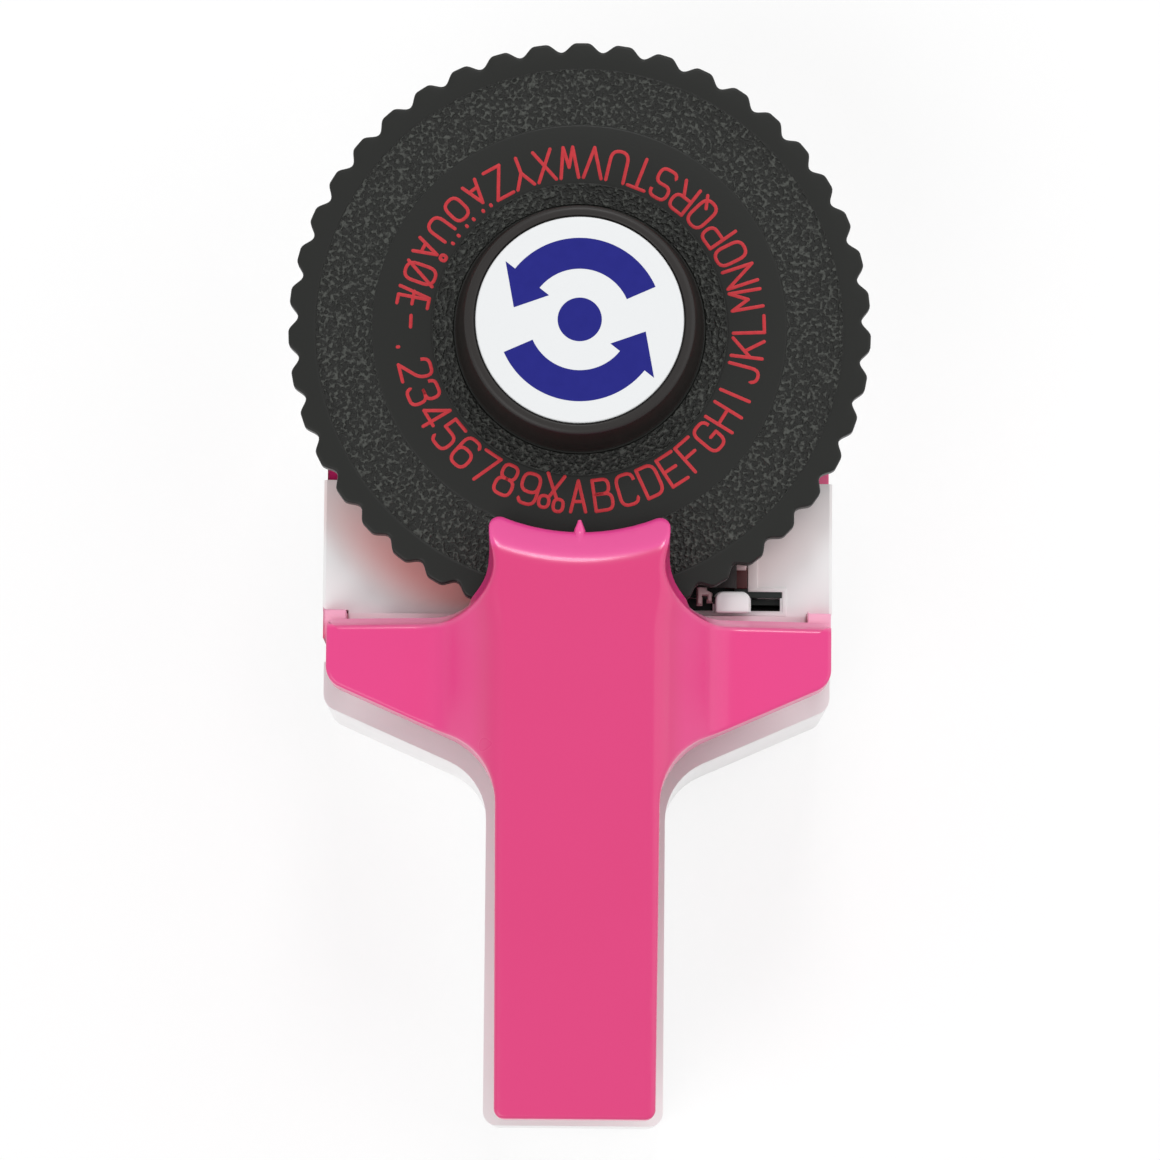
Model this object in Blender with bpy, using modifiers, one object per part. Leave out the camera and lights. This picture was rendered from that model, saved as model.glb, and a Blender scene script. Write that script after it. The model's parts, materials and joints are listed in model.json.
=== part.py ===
"""Embossing label maker: a toothed letter dial on a white magazine body, squeezed by a pink T lever.

Metres, +Z up. The origin is on the dial's axis, in the plane that the body rests on. The handle
runs along -Y, and the tape crosses from +X to -X under the lever's nose.
"""

import math

import bmesh
import bpy
from mathutils import Matrix, Vector

# Clearances
GAP = 0.0003  # between pieces that touch
RUN_GAP = 0.00015  # round a pin or shaft in its hole
SWING_GAP = 0.0004  # left at the end of the lever's travel
CUT = 0.002  # how far a cutter runs past what it cuts
WELD = 0.000003  # points nearer than this become one

# Main sizes
DIAL_RADIUS = 0.0413
BODY_HALF = 0.0363
BODY_TAIL_Y = -0.1122
DECK_TOP = 0.0325
SQUEEZE_DEG = 7.5

# Walls and plates
FLOOR_TOP = 0.0034
DECK_THICKNESS = 0.0018
GRIP_PLATE = 0.0015
GRIP_STEP = 0.0065  # from the deck down to the grip plate
HOUSING_WALL = 0.002
LEVER_WALL = 0.002
CROSS_WALL = 0.002
BODY_EDGE = 0.0008  # bevel round the underside
DECK_EDGE = 0.0004

# Body outline, seen from above
BODY_NOSE_Y = -0.008  # centre of the round front
BODY_CORNER_SET = 0.0108  # from the wings' front to where the side meets the slanted shoulder
BODY_CORNER_RADIUS = 0.0025
BODY_GRIP_HALF = 0.0128
BODY_TAIL_RADIUS = 0.002
SHOULDER_DEG = 23.77  # slope of the shoulders on both body and lever
SHOULDER_FILLET = 0.009

# Recess in the body's sides for the lever's arms, and the pockets between them
RECESS_DEPTH = 0.0038
RECESS_WALL = 0.0021
RECESS_ROOM_BELOW = 0.0075
RECESS_ROOM_FRONT = 0.0055
RECESS_ROOM_BACK = 0.0046
POCKET_CEILING = 0.002  # between the wide lower pocket and the recess over it

# Deck
DECK_BACK_GAP = 0.0004
BOSS_WINDOW_BACK = 0.0067  # the pivot bosses show in front of this line
LUG_NOTCH_DEPTH = 0.0018
LIP_DEPTH = 0.001
LIP_HEIGHT = 0.0025
SPINDLE_BOSS_RADIUS = 0.008
SPINDLE_BOSS_HEIGHT = 0.0029

# Dial
DIAL_THICKNESS = 0.0025
TOOTH_COUNT = 43
TOOTH_DEPTH = 0.0013
TOOTH_TOP_SHARE = 0.6
TOOTH_ROOT_SHARE = 0.18
RELIEF_DEPTH = 0.0002
RIM_WIDTH = 0.0039
OUTER_BAND_WIDTH = 0.008
INNER_BAND_GAP = 0.0005
INNER_BAND_WIDTH = 0.0028
DIAL_SLEEVE_RADIUS = 0.011
DIAL_SLEEVE_RISE = 0.0023
MATRIX_INSET = 0.0073
MATRIX_THICKNESS = 0.0016
MATRIX_SLOT_DEPTH = 0.0085
MATRIX_SLOT_WIDTH = 0.0009
TAPE_SPACE = 0.0017

# Knob and badge on the dial
KNOB_TOP_RADIUS = 0.0164
KNOB_FLARE = 0.0012
KNOB_HEIGHT = 0.0078
KNOB_WALL = 0.0024
KNOB_CEILING = 0.0014
KNOB_EDGE = 0.0007
BADGE_BORDER = 0.0017
BADGE_THICKNESS = 0.0008

# Spindle
SPINDLE_RADIUS = 0.003
SPINDLE_FLANGE_RADIUS = 0.0058
SPINDLE_FLANGE = 0.0016
SPINDLE_TAPPING_DEPTH = 0.009
WASHER_RADIUS = 0.0052
WASHER_THICKNESS = 0.0008
SCREW_HEAD_RADIUS = 0.0026
SCREW_HEAD_HEIGHT = 0.0017
SCREW_SHANK_RADIUS = 0.0011
SCREW_SLOT_WIDTH = 0.0006
SCREW_SLOT_DEPTH = 0.0008

# Tape and magazine
TAPE_WIDTH = 0.009
TAPE_INSET = 0.0095  # of the tape's middle line from the dial's rim
TAPE_THICKNESS = 0.00025
TAPE_BEND = 0.0016
TAPE_END_X = -0.014
ROLL_BORE = 0.0052
ROLL_LOW = 0.0024
ROLL_TOP_ROOM = 0.0007
ROLL_SIDE_ROOM = 0.003
ROLL_TO_POCKET = 0.0082
MAGAZINE_SIDE_GAP = 0.0005
MAGAZINE_WALL = 0.002
HATCH_LEDGE = 0.002

# Tape guide at the right of the roll
GUIDE_THICKNESS = 0.0022
GUIDE_STAND_OFF = 0.0006
GUIDE_LEAD_IN = 0.0008

# Feed rail, slider and finger
SLOT_SIDE_SET = 0.0074
SLOT_LENGTH = 0.0139
SLOT_WIDTH = 0.0026
SLOT_TO_TAPE = 0.0008
RAIL_HEIGHT = 0.0058
RAIL_FLOOR = 0.0006
FOOT_HEIGHT = 0.0018
FOOT_WIDTH = 0.0012
NECK_WIDTH = 0.0006
TAB_START = 0.0044  # from the slot's left end at rest
TAB_WIDTH = 0.0051
TAB_BELOW_DIAL = 0.0018
TAB_CORNER = 0.0009
FINGER_RADIUS = 0.00025
FINGER_REACH_X = 0.0026
FINGER_REACH_Y = 0.0028
FINGER_TIP_DROP = 0.0004  # below the dial's underside

# Anvil and click spring on the deck
ANVIL_SIZE = (0.0056, 0.0062)
LEAF_THICKNESS = 0.0004
LEAF_WIDTH = 0.0044
LEAF_ROOT_SET = 0.0045  # of its fixed end from the spindle's boss
LEAF_FLAT = 0.0062
LEAF_INSET = 0.005  # of its end from the lower disc's rim
LEAF_BUMP = 0.002
LEAF_DROP = 0.0007

# Door under the magazine
DOOR_THICKNESS = 0.0016
DOOR_LAP = 0.0055
DOOR_LAP_BACK = 0.0038
DOOR_CORNER = 0.0015
BARREL_RADIUS = 0.0013
BARREL_TO_MAGAZINE = 0.0058
BARREL_Z = 0.0015
BARREL_END_GAP = 0.0035
BARREL_FRONT_ROOM = 0.0021  # clears the neck as it swings
DOOR_SET_BACK = 0.0034  # from the pin to the plate's front edge, so that the edge swings clear
DOOR_PIN_RADIUS = 0.0006
DOOR_PIN_HOLD = 0.003
DOOR_NIB = (0.006, 0.0009, 0.001)
DOOR_NIB_BACK = 0.0012
PULL_RADIUS = 0.004
PULL_DEPTH = 0.0008

# Case screws and their posts
POST_RADIUS = 0.0031
POST_BORE_DEPTH = 0.0075
POST_WALL_GAP = 0.001
FRONT_POST_DEG = 31
GRIP_POST_FRONT_SET = 0.0256
GRIP_POST_REAR_SET = 0.0082
CASE_SCREW_LENGTH = 0.009
SCREW_SINK = 0.0004

# Lever
NOSE_REACH = 0.0118  # how far the nose reaches over the dial
NOSE_SLOPE = 0.0047
NOSE_HEIGHT = 0.0067
NOSE_STAND = 0.0023  # from the dial up to the nose's foot
NOSE_DRAFT = 0.002
NOSE_CORNER = 0.0012
WING_SIDE_GAP = 0.0003
WING_DIAL_GAP = 0.0003
WING_TIP_SWEEP = 0.0005
WING_CORNER = 0.0008
WING_SHOULDER_SET = 0.0019  # how far the shoulders lie in front of the body's
WING_SHOULDER_RADIUS = 0.0025
WING_FILLET = 0.0066
WING_SKIRT = 0.006
LEVER_GRIP_SET = 0.0012
LEVER_GRIP_SKIRT = 0.001
LEVER_TAIL_SET = 0.0006
LEVER_TAIL_RADIUS = 0.0012
SKIRT_RISE_START = 0.0051  # behind the body's corner
SKIRT_RISE_END = 0.0196
SPINE_HALF = 0.011
SADDLE_RADIUS = 0.0095

# Pointer, press pad and arms of the lever
PIVOT_SET = 0.0276  # in front of the wings' front
POINTER_REACH = 0.0016
POINTER_HALF = 0.0009
POINTER_RUN = 0.0026
POINTER_FOOT = 0.0002
POINTER_HEIGHT = 0.0032
PAD_HALF = 0.004
PAD_SET = 0.0033
PAD_DEPTH = 0.0046
PAD_BELOW_TOP = 0.0043
PAD_PROUD = 0.0001
ARM_THICKNESS = 0.0031
ARM_INSET = 0.0001
ARM_BOSS_RADIUS = 0.0033
ARM_LOW_DROP = 0.0018  # the arm's lower edge at its back, below the pivot
PIVOT_DROP = 0.0055
LUG_FRONT = 0.0017
LUG_DEPTH = 0.0038
LUG_BELOW_WING = 0.0025
PIN_RADIUS = 0.0015
PIN_HOLD = 0.0004

# Return spring between body and lever
SPRING_SET = 0.0061  # behind the body's corner
SPRING_RADIUS = 0.0046
SPRING_WIRE = 0.00045
SPRING_TURNS = 6
SPRING_POST_RADIUS = 0.0034
SPRING_POST_HEIGHT = 0.0068
SPRING_CUP_HEIGHT = 0.0045

# Cutter under the dial, one letter beside the pointer
BLADE_THICKNESS = 0.0003
BLADE_HEIGHT = 0.0005

# Facets
SHARP_DEG = 32  # smooth shading stops at edges sharper than this
ROUND_STEPS = 48
SMALL_STEPS = 20
ARC_STEP_DEG = 7.5
NOSE_STEPS = 5
SADDLE_STEPS = 8
ARM_BOSS_STEPS = 10
BEND_STEPS = 6
CURL_POINTS = 9
EDGE_SHARE = 0.293  # where an edge's arc passes its middle
SLIDER_ROOT_SHARE = 0.55  # how far down the tab the finger leaves it

# Levels that follow
deck_under = DECK_TOP - DECK_THICKNESS
boss_top = DECK_TOP + SPINDLE_BOSS_HEIGHT
matrix_low = boss_top + GAP
matrix_top = matrix_low + MATRIX_THICKNESS
tape_level = matrix_top + GAP + TAPE_THICKNESS / 2
dial_low = matrix_top + TAPE_SPACE
dial_top = dial_low + DIAL_THICKNESS
sleeve_top = dial_top + DIAL_SLEEVE_RISE
knob_low = dial_top + GAP
knob_top = knob_low + KNOB_HEIGHT
washer_low = sleeve_top + GAP
washer_top = washer_low + WASHER_THICKNESS
nose_foot_z = dial_top + NOSE_STAND
lever_top = nose_foot_z + NOSE_HEIGHT
wing_top = lever_top - SADDLE_RADIUS
skirt_z = wing_top - WING_SKIRT
grip_skirt_z = wing_top - LEVER_GRIP_SKIRT
pad_top = lever_top - PAD_BELOW_TOP
pivot_z = DECK_TOP - PIVOT_DROP
arm_top = pivot_z + ARM_BOSS_RADIUS - ARM_INSET
arm_low_back = pivot_z - ARM_LOW_DROP
arm_lug_top = wing_top - LUG_BELOW_WING
recess_low = pivot_z - RECESS_ROOM_BELOW
low_pocket_top = recess_low - POCKET_CEILING
grip_top = DECK_TOP - GRIP_STEP
housing_top = deck_under - GAP
tub_top = grip_top - GRIP_PLATE - GAP
rail_top = deck_under - GAP
rail_low = rail_top - RAIL_HEIGHT
foot_bottom = rail_low + RAIL_FLOOR + RUN_GAP
foot_top = foot_bottom + FOOT_HEIGHT
tab_top = dial_low - TAB_BELOW_DIAL
roll_radius = (deck_under - ROLL_TOP_ROOM - ROLL_LOW) / 2
roll_z = ROLL_LOW + roll_radius

# Places along the tool that follow
wing_front_y = -DIAL_RADIUS - WING_DIAL_GAP
pivot_y = wing_front_y + PIVOT_SET
wing_drop = math.sin(math.radians(SQUEEZE_DEG)) * (pivot_y - wing_front_y)
lip_room_top = DECK_TOP + LIP_HEIGHT + GAP + wing_drop
body_corner_y = wing_front_y - BODY_CORNER_SET
wing_corner_y = body_corner_y + WING_SHOULDER_SET
lever_tail_y = BODY_TAIL_Y + LEVER_TAIL_SET
skirt_rise_start_y = body_corner_y - SKIRT_RISE_START
skirt_rise_end_y = body_corner_y - SKIRT_RISE_END
spring_y = body_corner_y - SPRING_SET
nose_front_radius = DIAL_RADIUS - NOSE_REACH
nose_top_radius = nose_front_radius + NOSE_SLOPE
pad_front_y = -nose_front_radius - PAD_SET
pad_back_y = pad_front_y - PAD_DEPTH
arm_lug_y = wing_front_y + LUG_FRONT
arm_lug_back_y = arm_lug_y - LUG_DEPTH
recess_front_y = pivot_y + RECESS_ROOM_FRONT
recess_back_y = wing_front_y - RECESS_ROOM_BACK
deck_back_y = wing_front_y + DECK_BACK_GAP
deck_lug_y = deck_back_y + LUG_NOTCH_DEPTH
deck_boss_show_y = pivot_y - BOSS_WINDOW_BACK
tape_centre_y = -DIAL_RADIUS + TAPE_INSET
tape_front_y = tape_centre_y + TAPE_WIDTH / 2
tape_back_y = tape_centre_y - TAPE_WIDTH / 2
magazine_front_y = tape_front_y + MAGAZINE_SIDE_GAP
magazine_back_y = tape_back_y - MAGAZINE_SIDE_GAP
slot_front_y = tape_back_y - SLOT_TO_TAPE
slot_back_y = slot_front_y - SLOT_WIDTH
slot_middle_y = (slot_front_y + slot_back_y) / 2
barrel_y = magazine_front_y + BARREL_TO_MAGAZINE
door_front_y = barrel_y - DOOR_SET_BACK
door_back_y = magazine_back_y - DOOR_LAP_BACK

# Places across the tool that follow
recess_half = BODY_HALF - RECESS_DEPTH
pocket_half = recess_half - RECESS_WALL
deck_notch_half = recess_half + ARM_INSET
wing_half = BODY_HALF - WING_SIDE_GAP
lever_grip_half = BODY_GRIP_HALF - LEVER_GRIP_SET
nose_half = SPINE_HALF + NOSE_DRAFT
saddle_x = SPINE_HALF + SADDLE_RADIUS
slot_right_x = BODY_HALF - SLOT_SIDE_SET
slot_left_x = slot_right_x - SLOT_LENGTH
tab_left_x = slot_left_x + TAB_START
roll_right_x = pocket_half - ROLL_TO_POCKET
roll_x = roll_right_x - roll_radius
magazine_left_x = roll_x - roll_radius - ROLL_SIDE_ROOM
side_pocket_x = magazine_left_x - MAGAZINE_WALL
hatch_left_x = magazine_left_x + HATCH_LEDGE
tape_riser_x = roll_right_x + GAP / 2 + TAPE_THICKNESS / 2
guide_left_x = tape_riser_x + TAPE_THICKNESS / 2 + GUIDE_STAND_OFF
guide_right_x = guide_left_x + GUIDE_THICKNESS
door_left_x = hatch_left_x - DOOR_LAP
door_right_x = guide_left_x + DOOR_LAP
barrel_left_x = door_left_x + BARREL_END_GAP
barrel_right_x = door_right_x - BARREL_END_GAP
pin_left_x = barrel_left_x - DOOR_PIN_HOLD
pin_right_x = barrel_right_x + DOOR_PIN_HOLD

# Rings of the dial and knob
outer_band = (DIAL_RADIUS - RIM_WIDTH - OUTER_BAND_WIDTH, DIAL_RADIUS - RIM_WIDTH)
knob_base_radius = KNOB_TOP_RADIUS + KNOB_FLARE
inner_band = (knob_base_radius + INNER_BAND_GAP, knob_base_radius + INNER_BAND_GAP + INNER_BAND_WIDTH)
badge_radius = KNOB_TOP_RADIUS - BADGE_BORDER
matrix_radius = DIAL_RADIUS - MATRIX_INSET
leaf_start = (-SPINDLE_BOSS_RADIUS - LEAF_ROOT_SET, 0)
leaf_length = matrix_radius - LEAF_INSET + leaf_start[0]
pitch_angle = 2 * math.pi / TOOTH_COUNT

# Slopes, outlines' backs and the case screws' places
shoulder_slope = math.tan(math.radians(SHOULDER_DEG))
body_back = (BODY_HALF, body_corner_y, BODY_GRIP_HALF, BODY_TAIL_Y, BODY_TAIL_RADIUS)
lever_back = (wing_half, wing_corner_y, lever_grip_half, lever_tail_y, LEVER_TAIL_RADIUS)
post_circle = pocket_half - POST_RADIUS - POST_WALL_GAP
front_post_x = post_circle * math.cos(math.radians(FRONT_POST_DEG))
front_post_y = BODY_NOSE_Y + post_circle * math.sin(math.radians(FRONT_POST_DEG))
deck_screws = {
    "front_right": (front_post_x, front_post_y),
    "front_left": (-front_post_x, front_post_y),
    "middle_left": ((side_pocket_x - pocket_half) / 2, tape_centre_y),
}
grip_screws = {
    "grip_front": (0, body_corner_y - GRIP_POST_FRONT_SET),
    "grip_rear": (0, BODY_TAIL_Y + GRIP_POST_REAR_SET),
}

parts = bpy.data.collections.new("embossing_label_maker")
cutters = bpy.data.collections.new("cutters")


def clear_scene():
    for obj in list(bpy.data.objects):
        bpy.data.objects.remove(obj, do_unlink=True)
    bpy.context.scene.collection.children.link(parts)
    bpy.context.scene.collection.children.link(cutters)
    cutters.hide_render = True


def plastic(name, colour, roughness, metallic=0.0):
    material = bpy.data.materials.new(name)
    material.use_nodes = True
    shader = material.node_tree.nodes["Principled BSDF"]
    shader.inputs["Base Color"].default_value = (*colour, 1.0)
    shader.inputs["Roughness"].default_value = roughness
    shader.inputs["Metallic"].default_value = metallic
    material.diffuse_color = (*colour, 1.0)
    return material


def rounded(corners):
    """A closed outline from corners (x, y, radius): each corner becomes an arc of that radius."""
    points = []
    for index, (x, y, radius) in enumerate(corners):
        corner = Vector((x, y))
        before = Vector(corners[index - 1][:2]) - corner
        after = Vector(corners[(index + 1) % len(corners)][:2]) - corner
        if radius == 0:
            points.append(corner)
            continue
        before.normalize()
        after.normalize()
        half = before.angle(after) / 2
        centre = corner + (before + after).normalized() * radius / math.sin(half)
        start = corner + before * radius / math.tan(half) - centre
        turn = math.pi - 2 * half
        side = 1 if before.cross(after) < 0 else -1
        count = max(2, math.ceil(math.degrees(turn) / ARC_STEP_DEG))
        for step in range(count + 1):
            points.append(centre + Matrix.Rotation(side * turn * step / count, 2) @ start)
    return points


def arc(centre, radius, start_deg, end_deg, count):
    points = []
    for step in range(count + 1):
        angle = math.radians(start_deg + (end_deg - start_deg) * step / count)
        points.append(Vector((centre[0] + radius * math.cos(angle), centre[1] + radius * math.sin(angle))))
    return points


def mirrored(corners):
    """The corners of the right half, from front to back, followed by those of the left half."""
    return corners + [(-x, y, radius) for x, y, radius in reversed(corners)]


def solid(name, material, mesh, smooth=True):
    """A sub-part that shows; smooth shading stops at its sharp edges."""
    obj = bpy.data.objects.new(name, mesh)
    parts.objects.link(obj)
    if not mesh.materials:
        mesh.materials.append(material)
    if smooth:
        mesh.shade_smooth()
        mesh.set_sharp_from_angle(angle=math.radians(SHARP_DEG))
    return obj


def tool(name, mesh):
    """A helper solid that only cuts or joins others."""
    obj = bpy.data.objects.new(name, mesh)
    cutters.objects.link(obj)
    obj.hide_render = True
    obj.display_type = "WIRE"
    return obj


def prism_mesh(name, points, low, high, plane="XY"):
    """A flat outline given thickness from low to high, across the plane that it is drawn in."""
    curve = bpy.data.curves.new(name, "CURVE")
    curve.dimensions = "2D"
    curve.fill_mode = "BOTH"
    curve.extrude = (high - low) / 2
    spline = curve.splines.new("POLY")
    spline.points.add(len(points) - 1)
    for target, point in zip(spline.points, points):
        target.co = (point[0], point[1], 0, 1)
    spline.use_cyclic_u = True
    drawn = bpy.data.objects.new(name, curve)
    cutters.objects.link(drawn)
    middle = (low + high) / 2
    place, turn = {
        "XY": ((0, 0, middle), Matrix.Identity(3)),
        "YZ": ((middle, 0, 0), Matrix(((0, 0, 1), (1, 0, 0), (0, 1, 0)))),
        "XZ": ((0, middle, 0), Matrix(((1, 0, 0), (0, 0, -1), (0, 1, 0)))),
    }[plane]
    drawn.matrix_world = Matrix.Translation(place) @ turn.to_4x4()
    bpy.context.view_layer.update()
    graph = bpy.context.evaluated_depsgraph_get()
    mesh = bpy.data.meshes.new_from_object(drawn.evaluated_get(graph))
    mesh.transform(drawn.matrix_world)
    bpy.data.objects.remove(drawn, do_unlink=True)
    weld(mesh)
    mesh.name = name
    return mesh


def bevelled_mesh(name, levels):
    """A solid through outlines of equally many points, each given with its height, from low to high."""
    working = bmesh.new()
    rings = [[working.verts.new((x, y, height)) for x, y in outline] for outline, height in levels]
    for lower, upper in zip(rings, rings[1:]):
        for index, vertex in enumerate(lower):
            working.faces.new((lower[index - 1], vertex, upper[index], upper[index - 1]))
    working.faces.new(rings[0])
    working.faces.new(rings[-1])
    mesh = bpy.data.meshes.new(name)
    working.to_mesh(mesh)
    working.free()
    weld(mesh)
    return mesh


def weld(mesh):
    working = bmesh.new()
    working.from_mesh(mesh)
    bmesh.ops.remove_doubles(working, verts=working.verts, dist=WELD)
    bmesh.ops.recalc_face_normals(working, faces=working.faces)
    working.to_mesh(mesh)
    working.free()


def box_mesh(name, low, high):
    working = bmesh.new()
    bmesh.ops.create_cube(working, size=1)
    size = Vector(high) - Vector(low)
    centre = (Vector(high) + Vector(low)) / 2
    stretch = Matrix.Diagonal((*size, 1))
    bmesh.ops.transform(working, verts=working.verts, matrix=Matrix.Translation(centre) @ stretch)
    mesh = bpy.data.meshes.new(name)
    working.to_mesh(mesh)
    working.free()
    return mesh


def rod_mesh(name, radius, start, end, steps=SMALL_STEPS, end_radius=None):
    """A round bar, or a cone where end_radius is given, from start to end."""
    start = Vector(start)
    end = Vector(end)
    working = bmesh.new()
    bmesh.ops.create_cone(
        working,
        cap_ends=True,
        segments=steps,
        radius1=radius,
        radius2=radius if end_radius is None else end_radius,
        depth=(end - start).length,
    )
    turn = (end - start).to_track_quat("Z", "Y").to_matrix().to_4x4()
    bmesh.ops.transform(working, verts=working.verts, matrix=Matrix.Translation((start + end) / 2) @ turn)
    mesh = bpy.data.meshes.new(name)
    working.to_mesh(mesh)
    working.free()
    return mesh


def turned_mesh(name, profile, steps=ROUND_STEPS):
    """A profile of (radius, height) turned about Z; it runs down its outer side, top to bottom."""
    mesh = bpy.data.meshes.new(name)
    count = len(profile)
    closed = profile[0][0] > 0
    edges = [(i, (i + 1) % count) for i in range(count if closed else count - 1)]
    mesh.from_pydata([(radius, 0, height) for radius, height in profile], edges, [])
    obj = bpy.data.objects.new(name, mesh)
    cutters.objects.link(obj)
    screw = obj.modifiers.new("turn", "SCREW")
    screw.steps = steps
    screw.render_steps = steps
    screw.use_merge_vertices = True
    screw.merge_threshold = WELD
    return applied(obj)


def applied(obj):
    """The mesh as its modifiers leave it; the object is removed."""
    bpy.context.view_layer.update()
    graph = bpy.context.evaluated_depsgraph_get()
    mesh = bpy.data.meshes.new_from_object(obj.evaluated_get(graph))
    mesh.transform(obj.matrix_world)
    mesh.name = obj.name
    bpy.data.objects.remove(obj, do_unlink=True)
    weld(mesh)
    return mesh


def combine(obj, operation, other):
    modifier = obj.modifiers.new(f"{operation.lower()} {other.name}", "BOOLEAN")
    modifier.operation = operation
    modifier.object = other
    modifier.solver = "EXACT"


def cut(obj, name, mesh):
    combine(obj, "DIFFERENCE", tool(f"{obj.name}_{name}", mesh))


def join(obj, name, mesh):
    combine(obj, "UNION", tool(f"{obj.name}_{name}", mesh))


def tilted_by_squeeze(mesh):
    """The mesh as the squeezed lever meets it: turned back about the pivot by the full travel."""
    pivot = Vector((0, pivot_y, pivot_z))
    turn = Matrix.Rotation(-math.radians(SQUEEZE_DEG), 4, "X")
    mesh.transform(Matrix.Translation(pivot) @ turn @ Matrix.Translation(-pivot))
    return mesh


def shoulder_y(x, inset, half, corner_y):
    """The slanted shoulder's line, moved inwards by inset."""
    return corner_y - (half - x) * shoulder_slope + inset / math.cos(math.radians(SHOULDER_DEG))


def grip_corners(inset, side, corner_radius, half, corner_y, grip_half, tail_y, tail_radius):
    """The right half's corners behind the side: shoulder, fillet, grip and tail, moved in by inset."""
    grip = grip_half - inset
    return [
        (side, shoulder_y(side, inset, half, corner_y), corner_radius),
        (grip, shoulder_y(grip, inset, half, corner_y), SHOULDER_FILLET + inset),
        (grip, tail_y + inset, max(tail_radius - inset, GAP)),
    ]


def body_outline(inset=0, side=BODY_HALF, front_y=None, back_y=None):
    """The body seen from above, moved in by inset, with straight sides at side.

    front_y or back_y, where given, cuts it square across there."""
    side = min(side, BODY_HALF - inset)
    if front_y is None:
        half = [(side, BODY_NOSE_Y + side, side - GAP)]
    else:
        half = [(side, front_y, 0)]
    if back_y is None:
        corner_radius = BODY_CORNER_RADIUS if side == BODY_HALF else GAP
        half += grip_corners(inset, side, corner_radius, *body_back)
    else:
        half += [(side, back_y, 0)]
    return rounded(mirrored(half))


def lever_outline(inset=0):
    """The T of the lever: concave nose, wings, shoulders and grip, moved in by inset."""
    nose = nose_half - inset
    front = nose_top_radius + inset if inset else nose_front_radius
    half = []
    for step in range(NOSE_STEPS):
        x = nose * (step + 0.5) / (NOSE_STEPS + 0.5)
        half.append((x, -math.sqrt(front**2 - x**2), 0))
    side = wing_half - inset
    half += [
        (nose, -math.sqrt(front**2 - nose**2), max(NOSE_CORNER - inset, GAP)),
        (nose, wing_front_y - inset, WING_FILLET + inset),
        (side, wing_front_y - WING_TIP_SWEEP - inset, max(WING_CORNER - inset, GAP)),
    ]
    half += grip_corners(inset, side, max(WING_SHOULDER_RADIUS - inset, GAP), *lever_back)
    return rounded(mirrored(half))


def rectangle(x_low, y_low, x_high, y_high, radius=0.0):
    corners = [(x_low, y_low), (x_high, y_low), (x_high, y_high), (x_low, y_high)]
    return rounded([(x, y, radius) for x, y in corners])


def screw(name, material, foot, tip):
    """A slotted screw whose head lies at foot and whose shank ends at tip, both on one upright line."""
    foot = Vector(foot)
    tip = Vector(tip)
    along = (tip - foot).normalized()
    neck = foot + along * SCREW_HEAD_HEIGHT
    obj = solid(name, material, rod_mesh(name, SCREW_HEAD_RADIUS, foot, neck))
    join(obj, "shank", rod_mesh(name, SCREW_SHANK_RADIUS, neck - along * GAP, tip))
    reach = Vector((SCREW_HEAD_RADIUS + CUT, SCREW_SLOT_WIDTH / 2, 0))
    depth = along * SCREW_SLOT_DEPTH
    ends = sorted(((foot + depth).z, (foot - along * CUT).z))
    low = Vector((foot.x - reach.x, foot.y - reach.y, ends[0]))
    high = Vector((foot.x + reach.x, foot.y + reach.y, ends[1]))
    cut(obj, "slot", box_mesh(name, low, high))
    return obj


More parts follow.
